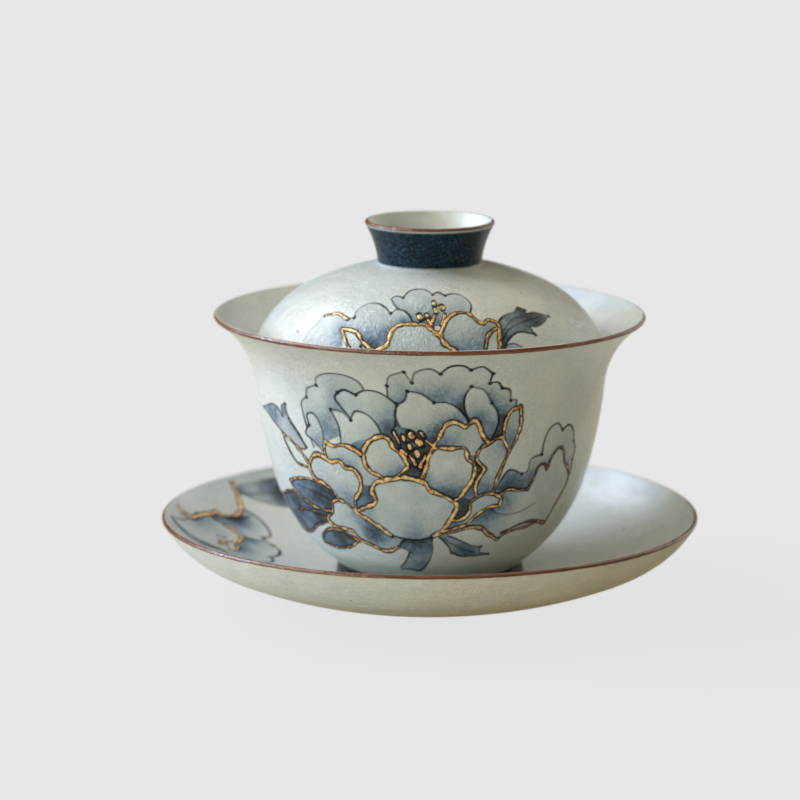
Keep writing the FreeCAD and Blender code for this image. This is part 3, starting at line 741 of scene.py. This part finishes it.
def raise_gold(name, face, painting):
    """One mesh of every visible gold stroke, each sunk a little into the glaze."""
    verts, wear_and_sheen, faces = [], [], []
    low_up, high_up = face.up.min() + CLEAR_OF_EDGE, face.up.max() - CLEAR_OF_EDGE
    for stroke in painting.gold:
        line = stroke["line"]
        shown = ~stroke["hidden"] & (line[:, 1] > low_up) & (line[:, 1] < high_up)
        for start, stop in unbroken(shown):
            if stop - start < FEWEST_POINTS:
                continue
            base = len(verts)
            new_verts, new_wear_and_sheen, new_faces = ridge(face, line[start:stop], stroke["widths"][start:stop])
            verts += new_verts
            wear_and_sheen += new_wear_and_sheen
            faces += [tuple(base + k for k in corners) for corners in new_faces]
    mesh = bpy.data.meshes.new(name)
    mesh.from_pydata((np.array(verts) * MM).tolist(), [], faces)
    mesh.shade_smooth()
    mesh.attributes.new("wear_and_sheen", "FLOAT", "POINT").data.foreach_set("value", np.array(wear_and_sheen, np.float32))
    gold = put_in_scene(name, mesh)
    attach(gold, face.turned.body)
    return gold


# ---------------------------------------------------------------- building the pieces


def curve_through(points, along, value):
    """A stretch of an outline as a function that gives one coordinate for the other."""
    ordered = points[np.argsort(points[:, along], kind="stable")]
    return lambda at: float(np.interp(at, ordered[:, along], ordered[:, value]))


def widest(points):
    return int(np.argmax(points[:, RADIUS]))


bowl_outline, lid_outline, saucer_outline = (outline_of(node)[0] for node in ("bowl", "lid", "saucer"))
outer_wall = bowl_outline[: widest(bowl_outline) + 1]
wall_reach = curve_through(outer_wall[outer_wall[:, HEIGHT] >= FOOT_TOP - HAIR], HEIGHT, RADIUS)
lid_edge, lid_top = sorted((widest(lid_outline), int(np.argmax(lid_outline[:, HEIGHT]))))
dome_height = curve_through(lid_outline[lid_edge : lid_top + 1], RADIUS, HEIGHT)
dish_height = curve_through(saucer_outline[widest(saucer_outline) :], RADIUS, HEIGHT)

# Rows lie this far apart on the painted faces, on the plain sides, and near the axis.
PAINTED_ROWS = {"bowl": 0.20, "lid": 0.22, "saucer": 0.24}
PLAIN_ROWS = {"bowl": 1.1, "lid": 0.9, "saucer": 0.9}
FOOT_ROWS = {"bowl": 0.5, "saucer": 0.6}
FINE_FROM = {"bowl": 20, "lid": 18, "saucer": 32}  # the radii beyond which painted rows are fine
INNER_WALL = 7, 45, 9.5  # the radii between which, and the height above which, the bowl's inside lies
WELL_REACH = 26


def bowl_spacing(radius, height):
    """The pitch of the rows; a point is on the painted side if it isn't a wall's thickness inside it."""
    outer = height > FOOT_TOP + 0.5 and radius > wall_reach(height) - 0.7
    inner = INNER_WALL[0] < radius < INNER_WALL[1] and height > INNER_WALL[2]
    if outer and radius > FINE_FROM["bowl"]:
        return PAINTED_ROWS["bowl"]
    return PLAIN_ROWS["bowl"] if inner else FOOT_ROWS["bowl"]


def lid_spacing(radius, height):
    outer = height > dome_height(radius) - 0.6
    return (PAINTED_ROWS if outer and radius > FINE_FROM["lid"] else PLAIN_ROWS)["lid"]


def saucer_spacing(radius, height):
    upper = height > dish_height(radius) - 0.5
    if upper and radius > FINE_FROM["saucer"]:
        return PAINTED_ROWS["saucer"]
    return (PLAIN_ROWS if radius > WELL_REACH else FOOT_ROWS)["saucer"]


SAUCER_ART = -112  # the azimuth of the saucer's flower
# Azimuths between which each body is painted, and the steps between columns there and elsewhere.
COLUMNS = {
    "bowl_body": columns(-102, 64, 0.30, 2.4),
    "lid_body": columns(-53, 57, 0.32, 2.4),
    "saucer_body": columns(SAUCER_ART - 44, SAUCER_ART + 36, 0.28, 2.2),
}
SPACINGS = {
    "bowl": bowl_spacing, "bowl_lip": 0.16, "foot_band": 0.3,
    "lid": lid_spacing, "lid_lip": 0.2, "lid_knob": 0.3, "knob_lip": 0.14, "knob_band": 0.25,
    "saucer": saucer_spacing, "saucer_lip": 0.17,
}
pieces = {}


def turn(node, spacing):
    """Turns a CAD node on its own body; its rows are even where spacing is a plain number."""
    body = next(name for name, nodes in frame["record"]["behaviour"]["bodies"].items() if node in nodes)
    pitch = spacing if callable(spacing) else lambda radius, height: spacing
    pieces[node] = Turned(node, body, Section(node, pitch), COLUMNS[body])


for node, spacing in SPACINGS.items():
    turn(node, spacing)
bowl, lid, saucer = pieces["bowl"], pieces["lid"], pieces["saucer"]


ON_FACE = 0.3  # a row this near to the outline's outer face lies on it


def outer_rows(turned, test):
    """The longest unbroken run of rows that passes a test."""
    runs = unbroken(np.array([test(*row) for row in turned.section.rows]))
    return np.arange(*max(runs, key=lambda run: run[1] - run[0]))


UNROLLED = 38.5  # millimetres across for each radian on the bowl and the lid
SAUCER_UNROLLED = 48.0
SAUCER_RIM = 60.0  # the radius from which the saucer's painting is measured inwards
KNOB_REACH = 13

wall_rows = outer_rows(bowl, lambda r, z: z > FOOT_TOP + 0.4 and abs(r - wall_reach(z)) < ON_FACE)
wall_face = Face(bowl, wall_rows, UNROLLED, bowl.section.rows[wall_rows, HEIGHT])
dome_rows = outer_rows(lid, lambda r, z: r > KNOB_REACH and abs(z - dome_height(r)) < ON_FACE)
dome_lengths = lengths(lid.section.rows[dome_rows])
if lid.section.rows[dome_rows[0], RADIUS] < lid.section.rows[dome_rows[-1], RADIUS]:
    dome_lengths = dome_lengths[-1] - dome_lengths
dome_face = Face(lid, dome_rows, UNROLLED, dome_lengths)
dish_rows = outer_rows(saucer, lambda r, z: r > WELL_REACH and abs(z - dish_height(r)) < ON_FACE)
from_rim = SAUCER_RIM - saucer.section.rows[dish_rows, RADIUS]
dish_face = Face(saucer, dish_rows, SAUCER_UNROLLED, from_rim, math.radians(SAUCER_ART))


def decorate(face, gold_name, draw, low, high, seed):
    """Paints a face between two places across, and lays its gold."""
    across, up, vertices = face.grid(low, high)
    painting = Painting(across, up, seed)
    draw(painting)
    for name, values in (("ink", painting.ink), ("wash", painting.wash)):
        whole = np.zeros(len(face.turned.places))
        whole[vertices.ravel()] = values.ravel()
        face.turned.keep(name, whole)
    return raise_gold(gold_name, face, painting)


golds = [
    decorate(wall_face, "bowl_gilding", paint_bowl, -68, 42, 100),
    decorate(dome_face, "lid_gilding", paint_lid, -35, 37, 200),
    decorate(dish_face, "saucer_gilding", paint_saucer, -34, 25, 300),
]


# Each lip: the wall it tips, and how far the iron runs down its outer side and over its inner one.
IRON = {
    "bowl_lip": ("bowl", 0.74, 0.30),
    "saucer_lip": ("saucer", 0.74, 0.26),
    "lid_lip": ("lid", 0.9, 0.5),
    "knob_lip": ("lid_knob", 0.66, 0.32),
}


def mark_lip(lip, wall, outside, inside_reach):
    """Stores, on a lip and its wall, how deep each vertex lies within the iron: 1 is its edge."""
    rows = pieces[lip].section.rows
    from_wall = np.linalg.norm(rows[:, None] - pieces[wall].section.rows[None], axis=2).min(axis=1)
    tip = rows[np.argmax(from_wall)]
    middle = (rows.min(axis=0) + rows.max(axis=0)) / 2
    outward = tip - middle
    across = np.array([abs(outward[1]), -outward[0] * np.sign(outward[1])]) / np.hypot(*outward)
    for turned in (pieces[lip], pieces[wall]):
        offset = turned.section.rows - tip
        reach = np.where(offset @ across > 0, outside, inside_reach)
        turned.keep("lip", (np.hypot(*offset.T) / reach)[turned.row_of])


for lip, (wall, outside, inside_reach) in IRON.items():
    mark_lip(lip, wall, outside, inside_reach)

# The knob's cobalt lies between the foot of its band and this far below its rim, softly edged.
BELOW_RIM = 0.75
BAND_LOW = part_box("knob_band")[0].z / MM
BAND_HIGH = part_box("knob_lip")[1].z / MM - BELOW_RIM


def mark_band(node):
    """Stores where the cobalt lies on the knob: all round, on the outer side only."""
    turned = pieces[node]
    height = turned.section.rows[:, HEIGHT]
    # With the solid on the left, the outline climbs the outer side and comes down the inner one.
    outer = (np.gradient(height) > 0) | (node == "knob_band")
    lower = ramp(height, BAND_LOW, BAND_LOW + BELOW_RIM)
    upper = ramp(height, BAND_HIGH, BAND_HIGH - BELOW_RIM)
    turned.keep("band", (np.minimum(lower, upper) * outer)[turned.row_of])


for node in ("knob_band", "lid_knob", "knob_lip"):
    mark_band(node)
pieces["foot_band"].keep("band", np.ones(len(pieces["foot_band"].places)))

# A pale ring on top of the lid, at the radius where it meets the knob: glaze pooled there, and a painted
# highlight on that rim.
POOL_REACH, POOL_WIDTH, DOME_DEPTH = 12.0, 0.75, 4
lid_radii, lid_heights = lid.section.rows.T
on_top = lid_heights > lid_heights.max() - DOME_DEPTH
pool_and_highlight = np.exp(-(((lid_radii - POOL_REACH) / POOL_WIDTH) ** 2)) * on_top
lid.keep("pool_and_highlight", pool_and_highlight[lid.row_of])

# Painted shade: the bowl's wall is darkened blue-green a little way up from the foot band.
WALL_FROM = 22  # the radius beyond which the bowl's rows are on its wall
WALL_SHADE_FULL, WALL_SHADE_END = 3.0, 5.6
bowl_radii, bowl_heights = bowl.section.rows.T
wall_shade = ramp(bowl_heights, FOOT_TOP + WALL_SHADE_END, FOOT_TOP + WALL_SHADE_FULL) * (bowl_radii > WALL_FROM)
bowl.keep("seep_and_shade", wall_shade[bowl.row_of])

# Painted shade: the bowl's wall is darker and greyer low on the right of the front.
LOW_SHADE_FULL, LOW_SHADE_END = 12, 30  # heights
bowl_azimuths = (bowl.azimuths[bowl.column_of] + math.pi) % (2 * math.pi) - math.pi
on_wall = (bowl_heights > FOOT_TOP) & (bowl_radii > WALL_FROM)
low_shade_rows = ramp(bowl_heights, LOW_SHADE_END, LOW_SHADE_FULL) * on_wall
low_shade_round = ramp(bowl_azimuths, -0.5, 0.1) * ramp(bowl_azimuths, 1.5, 1.0)
bowl.keep("low_wall_shade", low_shade_rows[bowl.row_of] * low_shade_round)


# ---------------------------------------------------------------- materials


class Shader:
    """A material being wired up; add() makes a node, sets its inputs and returns an output."""

    def __init__(self, name):
        self.material = bpy.data.materials.new(name)
        self.material.use_nodes = True
        self.tree = self.material.node_tree
        self.tree.nodes.clear()

    def set(self, socket, value):
        if isinstance(value, bpy.types.NodeSocket):
            self.tree.links.new(value, socket)
        elif socket.type == "RGBA" and not isinstance(value, (int, float)):
            socket.default_value = (*value, 1.0) if len(value) == 3 else value
        else:
            socket.default_value = value

    def add(self, kind, inputs=None, output=0, **settings):
        node = self.tree.nodes.new("ShaderNode" + kind)
        for key, value in settings.items():
            setattr(node, key, value)
        for key, value in (inputs or {}).items():
            self.set(node.inputs[key], value)
        return node.outputs[output]

    def math(self, operation, a, b=0.0):
        return self.add("Math", {0: a, 1: b, 2: 0.0}, operation=operation)

    def times(self, a, b):
        return self.math("MULTIPLY", a, b)

    def plus(self, a, b):
        return self.math("ADD", a, b)

    def either_way(self, value, middle, size):
        """A value between 0 and 1 made to swing about zero."""
        return self.times(self.math("SUBTRACT", value, middle), size)

    def mix(self, share, a, b, blend="MIX"):
        return self.add("Mix", {0: share, 6: a, 7: b}, output=2, data_type="RGBA", blend_type=blend)

    def mix_value(self, share, a, b):
        return self.add("Mix", {0: share, 2: a, 3: b})

    def between(self, value, low, high, to_low=0.0, to_high=1.0):
        return self.add(
            "MapRange",
            {"Value": value, "From Min": low, "From Max": high, "To Min": to_low, "To Max": to_high},
            interpolation_type="SMOOTHSTEP",
        )

    def noise(self, where, size, detail=2.0, roughness=0.5, distortion=0.0):
        """Noise whose features are about this many millimetres across."""
        return self.add("TexNoise", {
            "Vector": where, "Scale": 1.0 / size, "Detail": detail, "Roughness": roughness,
            "Distortion": distortion,
        })

    def millimetres(self):
        """The place on the object itself, in millimetres."""
        return self.add("VectorMath", {0: self.add("TexCoord", output=3), 3: 1 / MM}, operation="SCALE")

    def bump(self, height, depth, strength=1.0):
        return self.add("Bump", {"Height": height, "Strength": strength, "Distance": depth})

    def ramp(self, value, stops):
        node = self.tree.nodes.new("ShaderNodeValToRGB")
        self.set(node.inputs[0], value)
        elements = node.color_ramp.elements
        while len(elements) < len(stops):
            elements.new(0.5)
        for element, (place, colour) in zip(elements, stops):
            element.position = place
            element.color = (*colour, 1.0)
        return node.outputs[0]

    def read(self, name):
        return self.add("Attribute", output=2, attribute_name=name)

    def finish(self, surface):
        out = self.tree.nodes.new("ShaderNodeOutputMaterial")
        self.tree.links.new(surface, out.inputs["Surface"])
        return self.material


GLAZE_COOL = (0.668, 0.716, 0.714)
GLAZE_WARM = (0.742, 0.733, 0.684)
STREAK = (0.56, 0.58, 0.55)
MOTTLE_PALE = (0.84, 0.86, 0.83)
MOTTLE_GREY = (0.50, 0.53, 0.50)
IRON_SPECK = (0.075, 0.055, 0.040)
# pooled glaze and a painted highlight, round the foot of the knob
POOLED_AND_HIGHLIGHT = (0.84, 0.90, 0.92)
# painted shade, multiplied into the glaze low on the right of the bowl's front
LOW_WALL_SHADE = (0.72, 0.68, 0.60)
# painted shade on the bowl's wall just above the foot band
SHADE_ON_WALL = (0.20, 0.27, 0.25)
# cobalt seep and painted shade in the glaze along a band's edges
SEEP_AND_SHADE_ROUND_BAND = (0.20, 0.26, 0.23)
# painted shade, darkening all of the foot band's cobalt
FOOT_SHADE_DARK = (0.001, 0.002, 0.004)
INK = (0.004, 0.011, 0.020)
RUST_DARK = (0.085, 0.022, 0.007)
RUST_LIGHT = (0.225, 0.060, 0.023)
RUST_HALO = (0.70, 0.62, 0.48)
WASHES = (
    (0.00, (0.640, 0.670, 0.650)),
    (0.22, (0.420, 0.485, 0.510)),
    (0.50, (0.120, 0.200, 0.290)),
    (0.75, (0.030, 0.068, 0.122)),
    (1.00, (0.004, 0.010, 0.018)),
)
COBALTS = (
    (0.48, (0.001, 0.004, 0.008)),
    (0.66, (0.007, 0.021, 0.037)),
    (0.80, (0.028, 0.074, 0.116)),
    (0.95, (0.12, 0.19, 0.22)),
)
# from the brown ground to the palest gold, which is a painted highlight
GOLDS = (
    (0.27, (0.085, 0.032, 0.012)),
    (0.39, (0.430, 0.205, 0.070)),
    (0.50, (0.920, 0.575, 0.225)),
    (0.66, (1.000, 0.800, 0.440)),
)
GLAZE_GLOSS, INK_GLOSS, COBALT_GLOSS, IRON_GLOSS = 0.5, 0.08, 0.12, 1.0
GLAZE_ROUGHNESS = 0.17, 0.25
IRON_ROUGHNESS = 0.12
GLAZE_IOR = 1.5
GLAZE_RELIEF, GOLD_RELIEF = 0.00034, 0.00005  # metres


def add_specks(s, where, colour):
    """Scattered iron specks: a small disc in a few of the cells of a pattern."""
    cells = s.tree.nodes.new("ShaderNodeTexVoronoi")
    s.set(cells.inputs["Vector"], where)
    s.set(cells.inputs["Scale"], 1 / 4.2)
    chance = s.add("SeparateColor", {0: cells.outputs["Color"]})
    size = s.times(s.between(chance, 0.72, 1.0), 0.085)
    speck = s.math("LESS_THAN", cells.outputs["Distance"], size)
    edge = s.times(speck, s.between(s.noise(where, 0.35), 0.3, 0.6, 0.35, 0.9))
    return s.mix(edge, colour, IRON_SPECK)


def add_painting(s, where, colour):
    """The wash and the ink; pooled glaze round the knob with a painted highlight; and painted shade low on
    the bowl's wall.
    """
    wash = s.read("wash")
    bloom = s.times(wash, s.between(s.noise(where, 1.1, 4.0, 0.6), 0.2, 0.8, 0.78, 1.2))
    colour = s.mix(s.between(wash, 0.0, 0.14, 0.0, 0.92), colour, s.ramp(bloom, WASHES))
    # pooled glaze and a painted highlight: a pale ring round the foot of the knob
    colour = s.mix(s.times(s.read("pool_and_highlight"), 0.8), colour, POOLED_AND_HIGHLIGHT)
    # painted shade: darker and greyer low on the right of the bowl's front
    colour = s.mix(s.read("low_wall_shade"), colour, LOW_WALL_SHADE, "MULTIPLY")
    # painted shade: a blue-green darkening of the bowl's wall just above the foot band
    colour = s.mix(s.times(s.read("seep_and_shade"), 0.45), colour, SHADE_ON_WALL)
    ink = s.times(s.read("ink"), s.between(s.noise(where, 0.5, 3.0), 0.2, 0.6, 0.8, 1.0))
    dark = s.math("MAXIMUM", ink, s.between(wash, 0.45, 0.9))
    return s.mix(ink, colour, INK), s.mix_value(dark, GLAZE_GLOSS, INK_GLOSS)


def add_band(s, where, colour, drift, sunken):
    """Mottled cobalt where the band lies, with a grey-green tint in the glaze beside it, partly cobalt seep
    and partly painted shade.
    """
    depth = s.plus(s.noise(where, 0.55, 4.0, 0.75), s.times(drift, 0.3))
    cobalt = s.ramp(depth, COBALTS)
    # painted shade: the foot band's cobalt is darkened all round, for the shade between bowl and saucer
    if sunken:
        cobalt = s.mix(0.65, cobalt, FOOT_SHADE_DARK)
    waver = s.either_way(s.noise(where, 0.9, 4.0, 0.7), 0.5, 0.9)
    laid = s.between(s.plus(s.read("band"), waver), 0.25, 0.6)
    # cobalt seep and painted shade: a grey-green tint in the glaze along the band's edges
    seep_and_shade = s.times(s.between(s.read("band"), 0.0, 0.06), 0.75)
    colour = s.mix(seep_and_shade, colour, SEEP_AND_SHADE_ROUND_BAND)
    return s.mix(laid, colour, cobalt), s.mix_value(laid, GLAZE_GLOSS, COBALT_GLOSS)


def add_lip(s, where, colour, roughness, gloss, banded):
    """Iron-brown over the lip, wavering at its edge, with a faint warm halo in the glaze."""
    far = s.plus(s.read("lip"), s.either_way(s.noise(where, 6.0, 3.0), 0.5, 0.4))
    iron = s.between(far, 1.22, 0.88)
    # darker where the iron runs thick at its two edges, lighter and redder along the middle
    rust = s.mix(s.between(far, 0.35, 1.0), RUST_LIGHT, RUST_DARK)
    rust = s.mix(s.between(s.noise(where, 7.0, 4.0, 0.6), 0.35, 0.7, 0.0, 0.5), rust, RUST_DARK)
    halo = s.times(s.between(far, 2.3, 1.1), 0.15 if banded else 0.5)
    colour = s.mix(iron, s.mix(halo, colour, RUST_HALO), rust)
    return colour, s.mix_value(iron, roughness, IRON_ROUGHNESS), s.mix_value(iron, gloss, IRON_GLOSS)


def add_relief(s, where, streaks):
    """Orange-peel ripples, creases in places, broader dents and a trace of the brush."""
    ripples = s.noise(where, 0.8, 2.0, 0.5, 1.0)
    creases = s.math("ABSOLUTE", s.math("SUBTRACT", s.noise(where, 1.9, 2.0, 0.5, 1.5), 0.5))
    crinkled = s.between(s.noise(where, 16.0, 1.0), 0.42, 0.60, 0.12, 1.0)
    creases = s.times(s.between(creases, 0.0, 0.09, 0.0, 0.21), crinkled)
    height = s.plus(s.times(ripples, 0.5), creases)
    height = s.plus(height, s.times(s.noise(where, 6.0, 2.0), 1.2))
    return s.bump(s.plus(height, s.times(streaks, 0.30)), GLAZE_RELIEF)


def glaze_material(name, painted=False, lipped=False, banded=False, sunken=False):
    """Pale celadon-white glaze, with its painting, its iron lip or its cobalt band where it has one."""
    s = Shader(name)
    where = s.millimetres()
    # a slow drift from cool to warm, faint level brush streaks, and a fine mottle
    drift = s.noise(where, 24.0, 3.0, 0.55)
    colour = s.mix(s.between(drift, 0.35, 0.68), GLAZE_COOL, GLAZE_WARM)
    level = s.add("Mapping", {"Vector": where, "Scale": (0.16, 0.16, 1.0)})
    streaks = s.noise(level, 0.9, 3.0, 0.6)
    colour = s.mix(s.between(streaks, 0.3, 0.75, 0.0, 0.22), colour, STREAK)
    mottle = s.noise(where, 1.6, 4.0, 0.65)
    colour = s.mix(s.between(mottle, 0.45, 0.8, 0.0, 0.30), colour, MOTTLE_PALE)
    colour = s.mix(s.between(mottle, 0.5, 0.22, 0.0, 0.25), colour, MOTTLE_GREY)
    colour = add_specks(s, where, colour)
    roughness = s.between(s.noise(where, 5.0, 3.0), 0.3, 0.7, *GLAZE_ROUGHNESS)
    gloss = GLAZE_GLOSS
    if painted:
        colour, gloss = add_painting(s, where, colour)
    if banded:
        colour, gloss = add_band(s, where, colour, drift, sunken)
    if lipped:
        colour, roughness, gloss = add_lip(s, where, colour, roughness, gloss, banded)
    return s.finish(s.add("BsdfPrincipled", {
        "Base Color": colour, "Roughness": roughness, "IOR": GLAZE_IOR,
        "Specular IOR Level": gloss, "Normal": add_relief(s, where, streaks),
    }))


def gold_material(name):
    """Fired gold over a brown ground: worn and brown in the hollows, and bright on the ridges, where its
    palest colour is a painted highlight.
    """
    s = Shader(name)
    where = s.millimetres()
    # this noise also raises the relief, so the palest gold, a painted highlight, lies on the lumps
    worn_and_sheen = s.noise(where, 1.1, 5.0, 0.7)
    laid = s.math("SUBTRACT", worn_and_sheen, s.times(s.read("wear_and_sheen"), 0.26))
    grain = s.plus(s.noise(where, 0.32, 3.0, 0.6), s.times(worn_and_sheen, 0.6))
    return s.finish(s.add("BsdfPrincipled", {
        "Base Color": s.ramp(laid, GOLDS),
        "Roughness": s.between(worn_and_sheen, 0.3, 0.7, 0.50, 0.36),
        "Metallic": s.between(worn_and_sheen, 0.3, 0.55, 0.2, 0.5),
        "Normal": s.bump(grain, GOLD_RELIEF, 0.9),
    }))


FINISHES = {
    ("painted", "lipped"): ("bowl", "lid", "saucer"),
    ("lipped", "banded"): ("lid_knob", "knob_lip"),
    ("lipped",): ("bowl_lip", "saucer_lip", "lid_lip"),
    # the foot band's cobalt also gets painted shade
    ("banded", "sunken"): ("foot_band",),
    ("banded",): ("knob_band",),
}
for features, nodes in FINISHES.items():
    glaze = glaze_material("glaze_" + "_".join(features), **dict.fromkeys(features, True))
    for node in nodes:
        pieces[node].object.data.materials.append(glaze)
gold_paint = gold_material("fired_gold")
for gold in golds:
    gold.data.materials.append(gold_paint)


# ---------------------------------------------------------------- floor, light and camera


FLOOR_HALF = 6.0  # metres


def diffuse_and_glow(s, colour, glow):
    emission = s.add("Emission", {"Color": glow, "Strength": 1.0})
    return s.add("AddShader", {0: s.add("BsdfDiffuse", {"Color": colour}), 1: emission})


def make_floor():
    """A plain pale floor; the camera sees it evenly lit, with a soft shadow under the saucer."""
    mesh = bpy.data.meshes.new("floor")
    corners = [(x * FLOOR_HALF, y * FLOOR_HALF, 0) for x, y in ((-1, -1), (1, -1), (1, 1), (-1, 1))]
    mesh.from_pydata(corners, [], [(0, 1, 2, 3)])
    put_in_scene("floor", mesh)
    s = Shader("floor")
    seen = s.add("LightPath", output=0)
    bounced = diffuse_and_glow(s, (0.50, 0.49, 0.44), (0.130, 0.092, 0.034))
    shown = diffuse_and_glow(s, (0.05, 0.05, 0.05), (0.745, 0.745, 0.745))
    shown = s.add("MixShader", {0: seen, 1: bounced, 2: shown})
    # from below the floor isn't there, so that the undersides can be seen
    from_below = s.times(seen, s.add("NewGeometry", output=6))
    shown = s.add("MixShader", {0: from_below, 1: shown, 2: s.add("BsdfTransparent")})
    mesh.materials.append(s.finish(shown))


def make_soft_light(name, azimuth, elevation, spread, colour):
    """Broad soft light from a direction, as from a window or a pale wall; azimuth 0 is in front."""
    data = bpy.data.lights.new(name, "SUN")
    data.angle = math.radians(spread)
    data.energy = max(colour)
    data.color = [c / max(colour) for c in colour]
    light = put_in_scene(name, data)
    around, up = math.radians(azimuth), math.radians(elevation)
    level = math.cos(up)
    place = Vector((math.sin(around) * level, -math.cos(around) * level, math.sin(up)))
    light.location = place
    light.rotation_euler = (-place).to_track_quat("-Z", "Y").to_euler()


SKY = (0.018, 0.020, 0.020, 1.0)
BACKDROP = (0.791, 0.791, 0.791, 1.0)


def make_world():
    """A faint light from all round; the camera sees the same pale grey beyond the floor as on it."""
    world = bpy.data.worlds.new("studio")
    bpy.context.scene.world = world
    world.use_nodes = True
    tree = world.node_tree
    lighting = tree.nodes["Background"]
    lighting.inputs["Color"].default_value = SKY
    backdrop = tree.nodes.new("ShaderNodeBackground")
    backdrop.inputs["Color"].default_value = BACKDROP
    seen = tree.nodes.new("ShaderNodeLightPath")
    either = tree.nodes.new("ShaderNodeMixShader")
    for i, source in enumerate((seen, lighting, backdrop)):
        tree.links.new(source.outputs[0], either.inputs[i])
    tree.links.new(either.outputs[0], tree.nodes["World Output"].inputs["Surface"])


FOCAL_LENGTH, SENSOR_WIDTH = 154.6, 36.0
SHIFT = -0.03725, 0.0026
F_STOP = 16
CAMERA_PLACE = (0.0, -0.7779, 0.2023)
CAMERA_AIM = (0.0, 0.0, 0.0447)
NEAR_SIDE = 0.060  # the focus lies on the near side of the bowl, this far before its axis


def make_camera():
    """The photographer's place: a long lens, a little above the rim of the bowl."""
    data = bpy.data.cameras.new("camera")
    data.lens, data.sensor_width = FOCAL_LENGTH, SENSOR_WIDTH
    data.shift_x, data.shift_y = SHIFT
    data.clip_start, data.clip_end = 0.05, 50
    data.dof.use_dof = True
    data.dof.aperture_fstop = F_STOP
    camera = put_in_scene("camera", data)
    camera.location = CAMERA_PLACE
    aim = Vector(CAMERA_AIM) - Vector(CAMERA_PLACE)
    camera.rotation_euler = aim.to_track_quat("-Z", "Y").to_euler()
    bpy.context.scene.camera = camera
    # the focus follows the camera: its distance from the bowl, less the near side
    focus = data.dof.driver_add("focus_distance")
    focus.driver.type = "SUM"
    reach = focus.driver.variables.new()
    reach.type = "LOC_DIFF"
    reach.targets[0].id = camera
    reach.targets[1].id = pieces["bowl"].object
    for modifier in list(focus.modifiers):
        focus.modifiers.remove(modifier)
    while focus.keyframe_points:
        focus.keyframe_points.remove(focus.keyframe_points[0])
    offset = focus.modifiers.new("GENERATOR")
    offset.poly_order = 1
    offset.coefficients = (-NEAR_SIDE, 1.0)


# Each light: azimuth from the front, elevation and spread in degrees, and colour with strength.
LIGHTS = {
    "window_high": (-112, 42, 46, (2.48, 2.58, 2.70)),
    "window_low": (-100, 12, 20, (0.92, 1.26, 2.00)),
    "front_left": (-48, 12, 46, (1.50, 1.54, 1.26)),
    "ceiling": (60, 74, 60, (0.36, 0.34, 0.23)),
    "back_right": (138, 42, 46, (0.60, 0.50, 0.33)),
    "back_low": (138, 6, 40, (0.40, 0.43, 0.46)),
    "front_right": (20, 12, 46, (0.08, 0.07, 0.02)),
}

make_floor()
for light_name, settings in LIGHTS.items():
    make_soft_light(light_name, *settings)
make_world()
make_camera()
bpy.context.scene.view_settings.view_transform = "Standard"
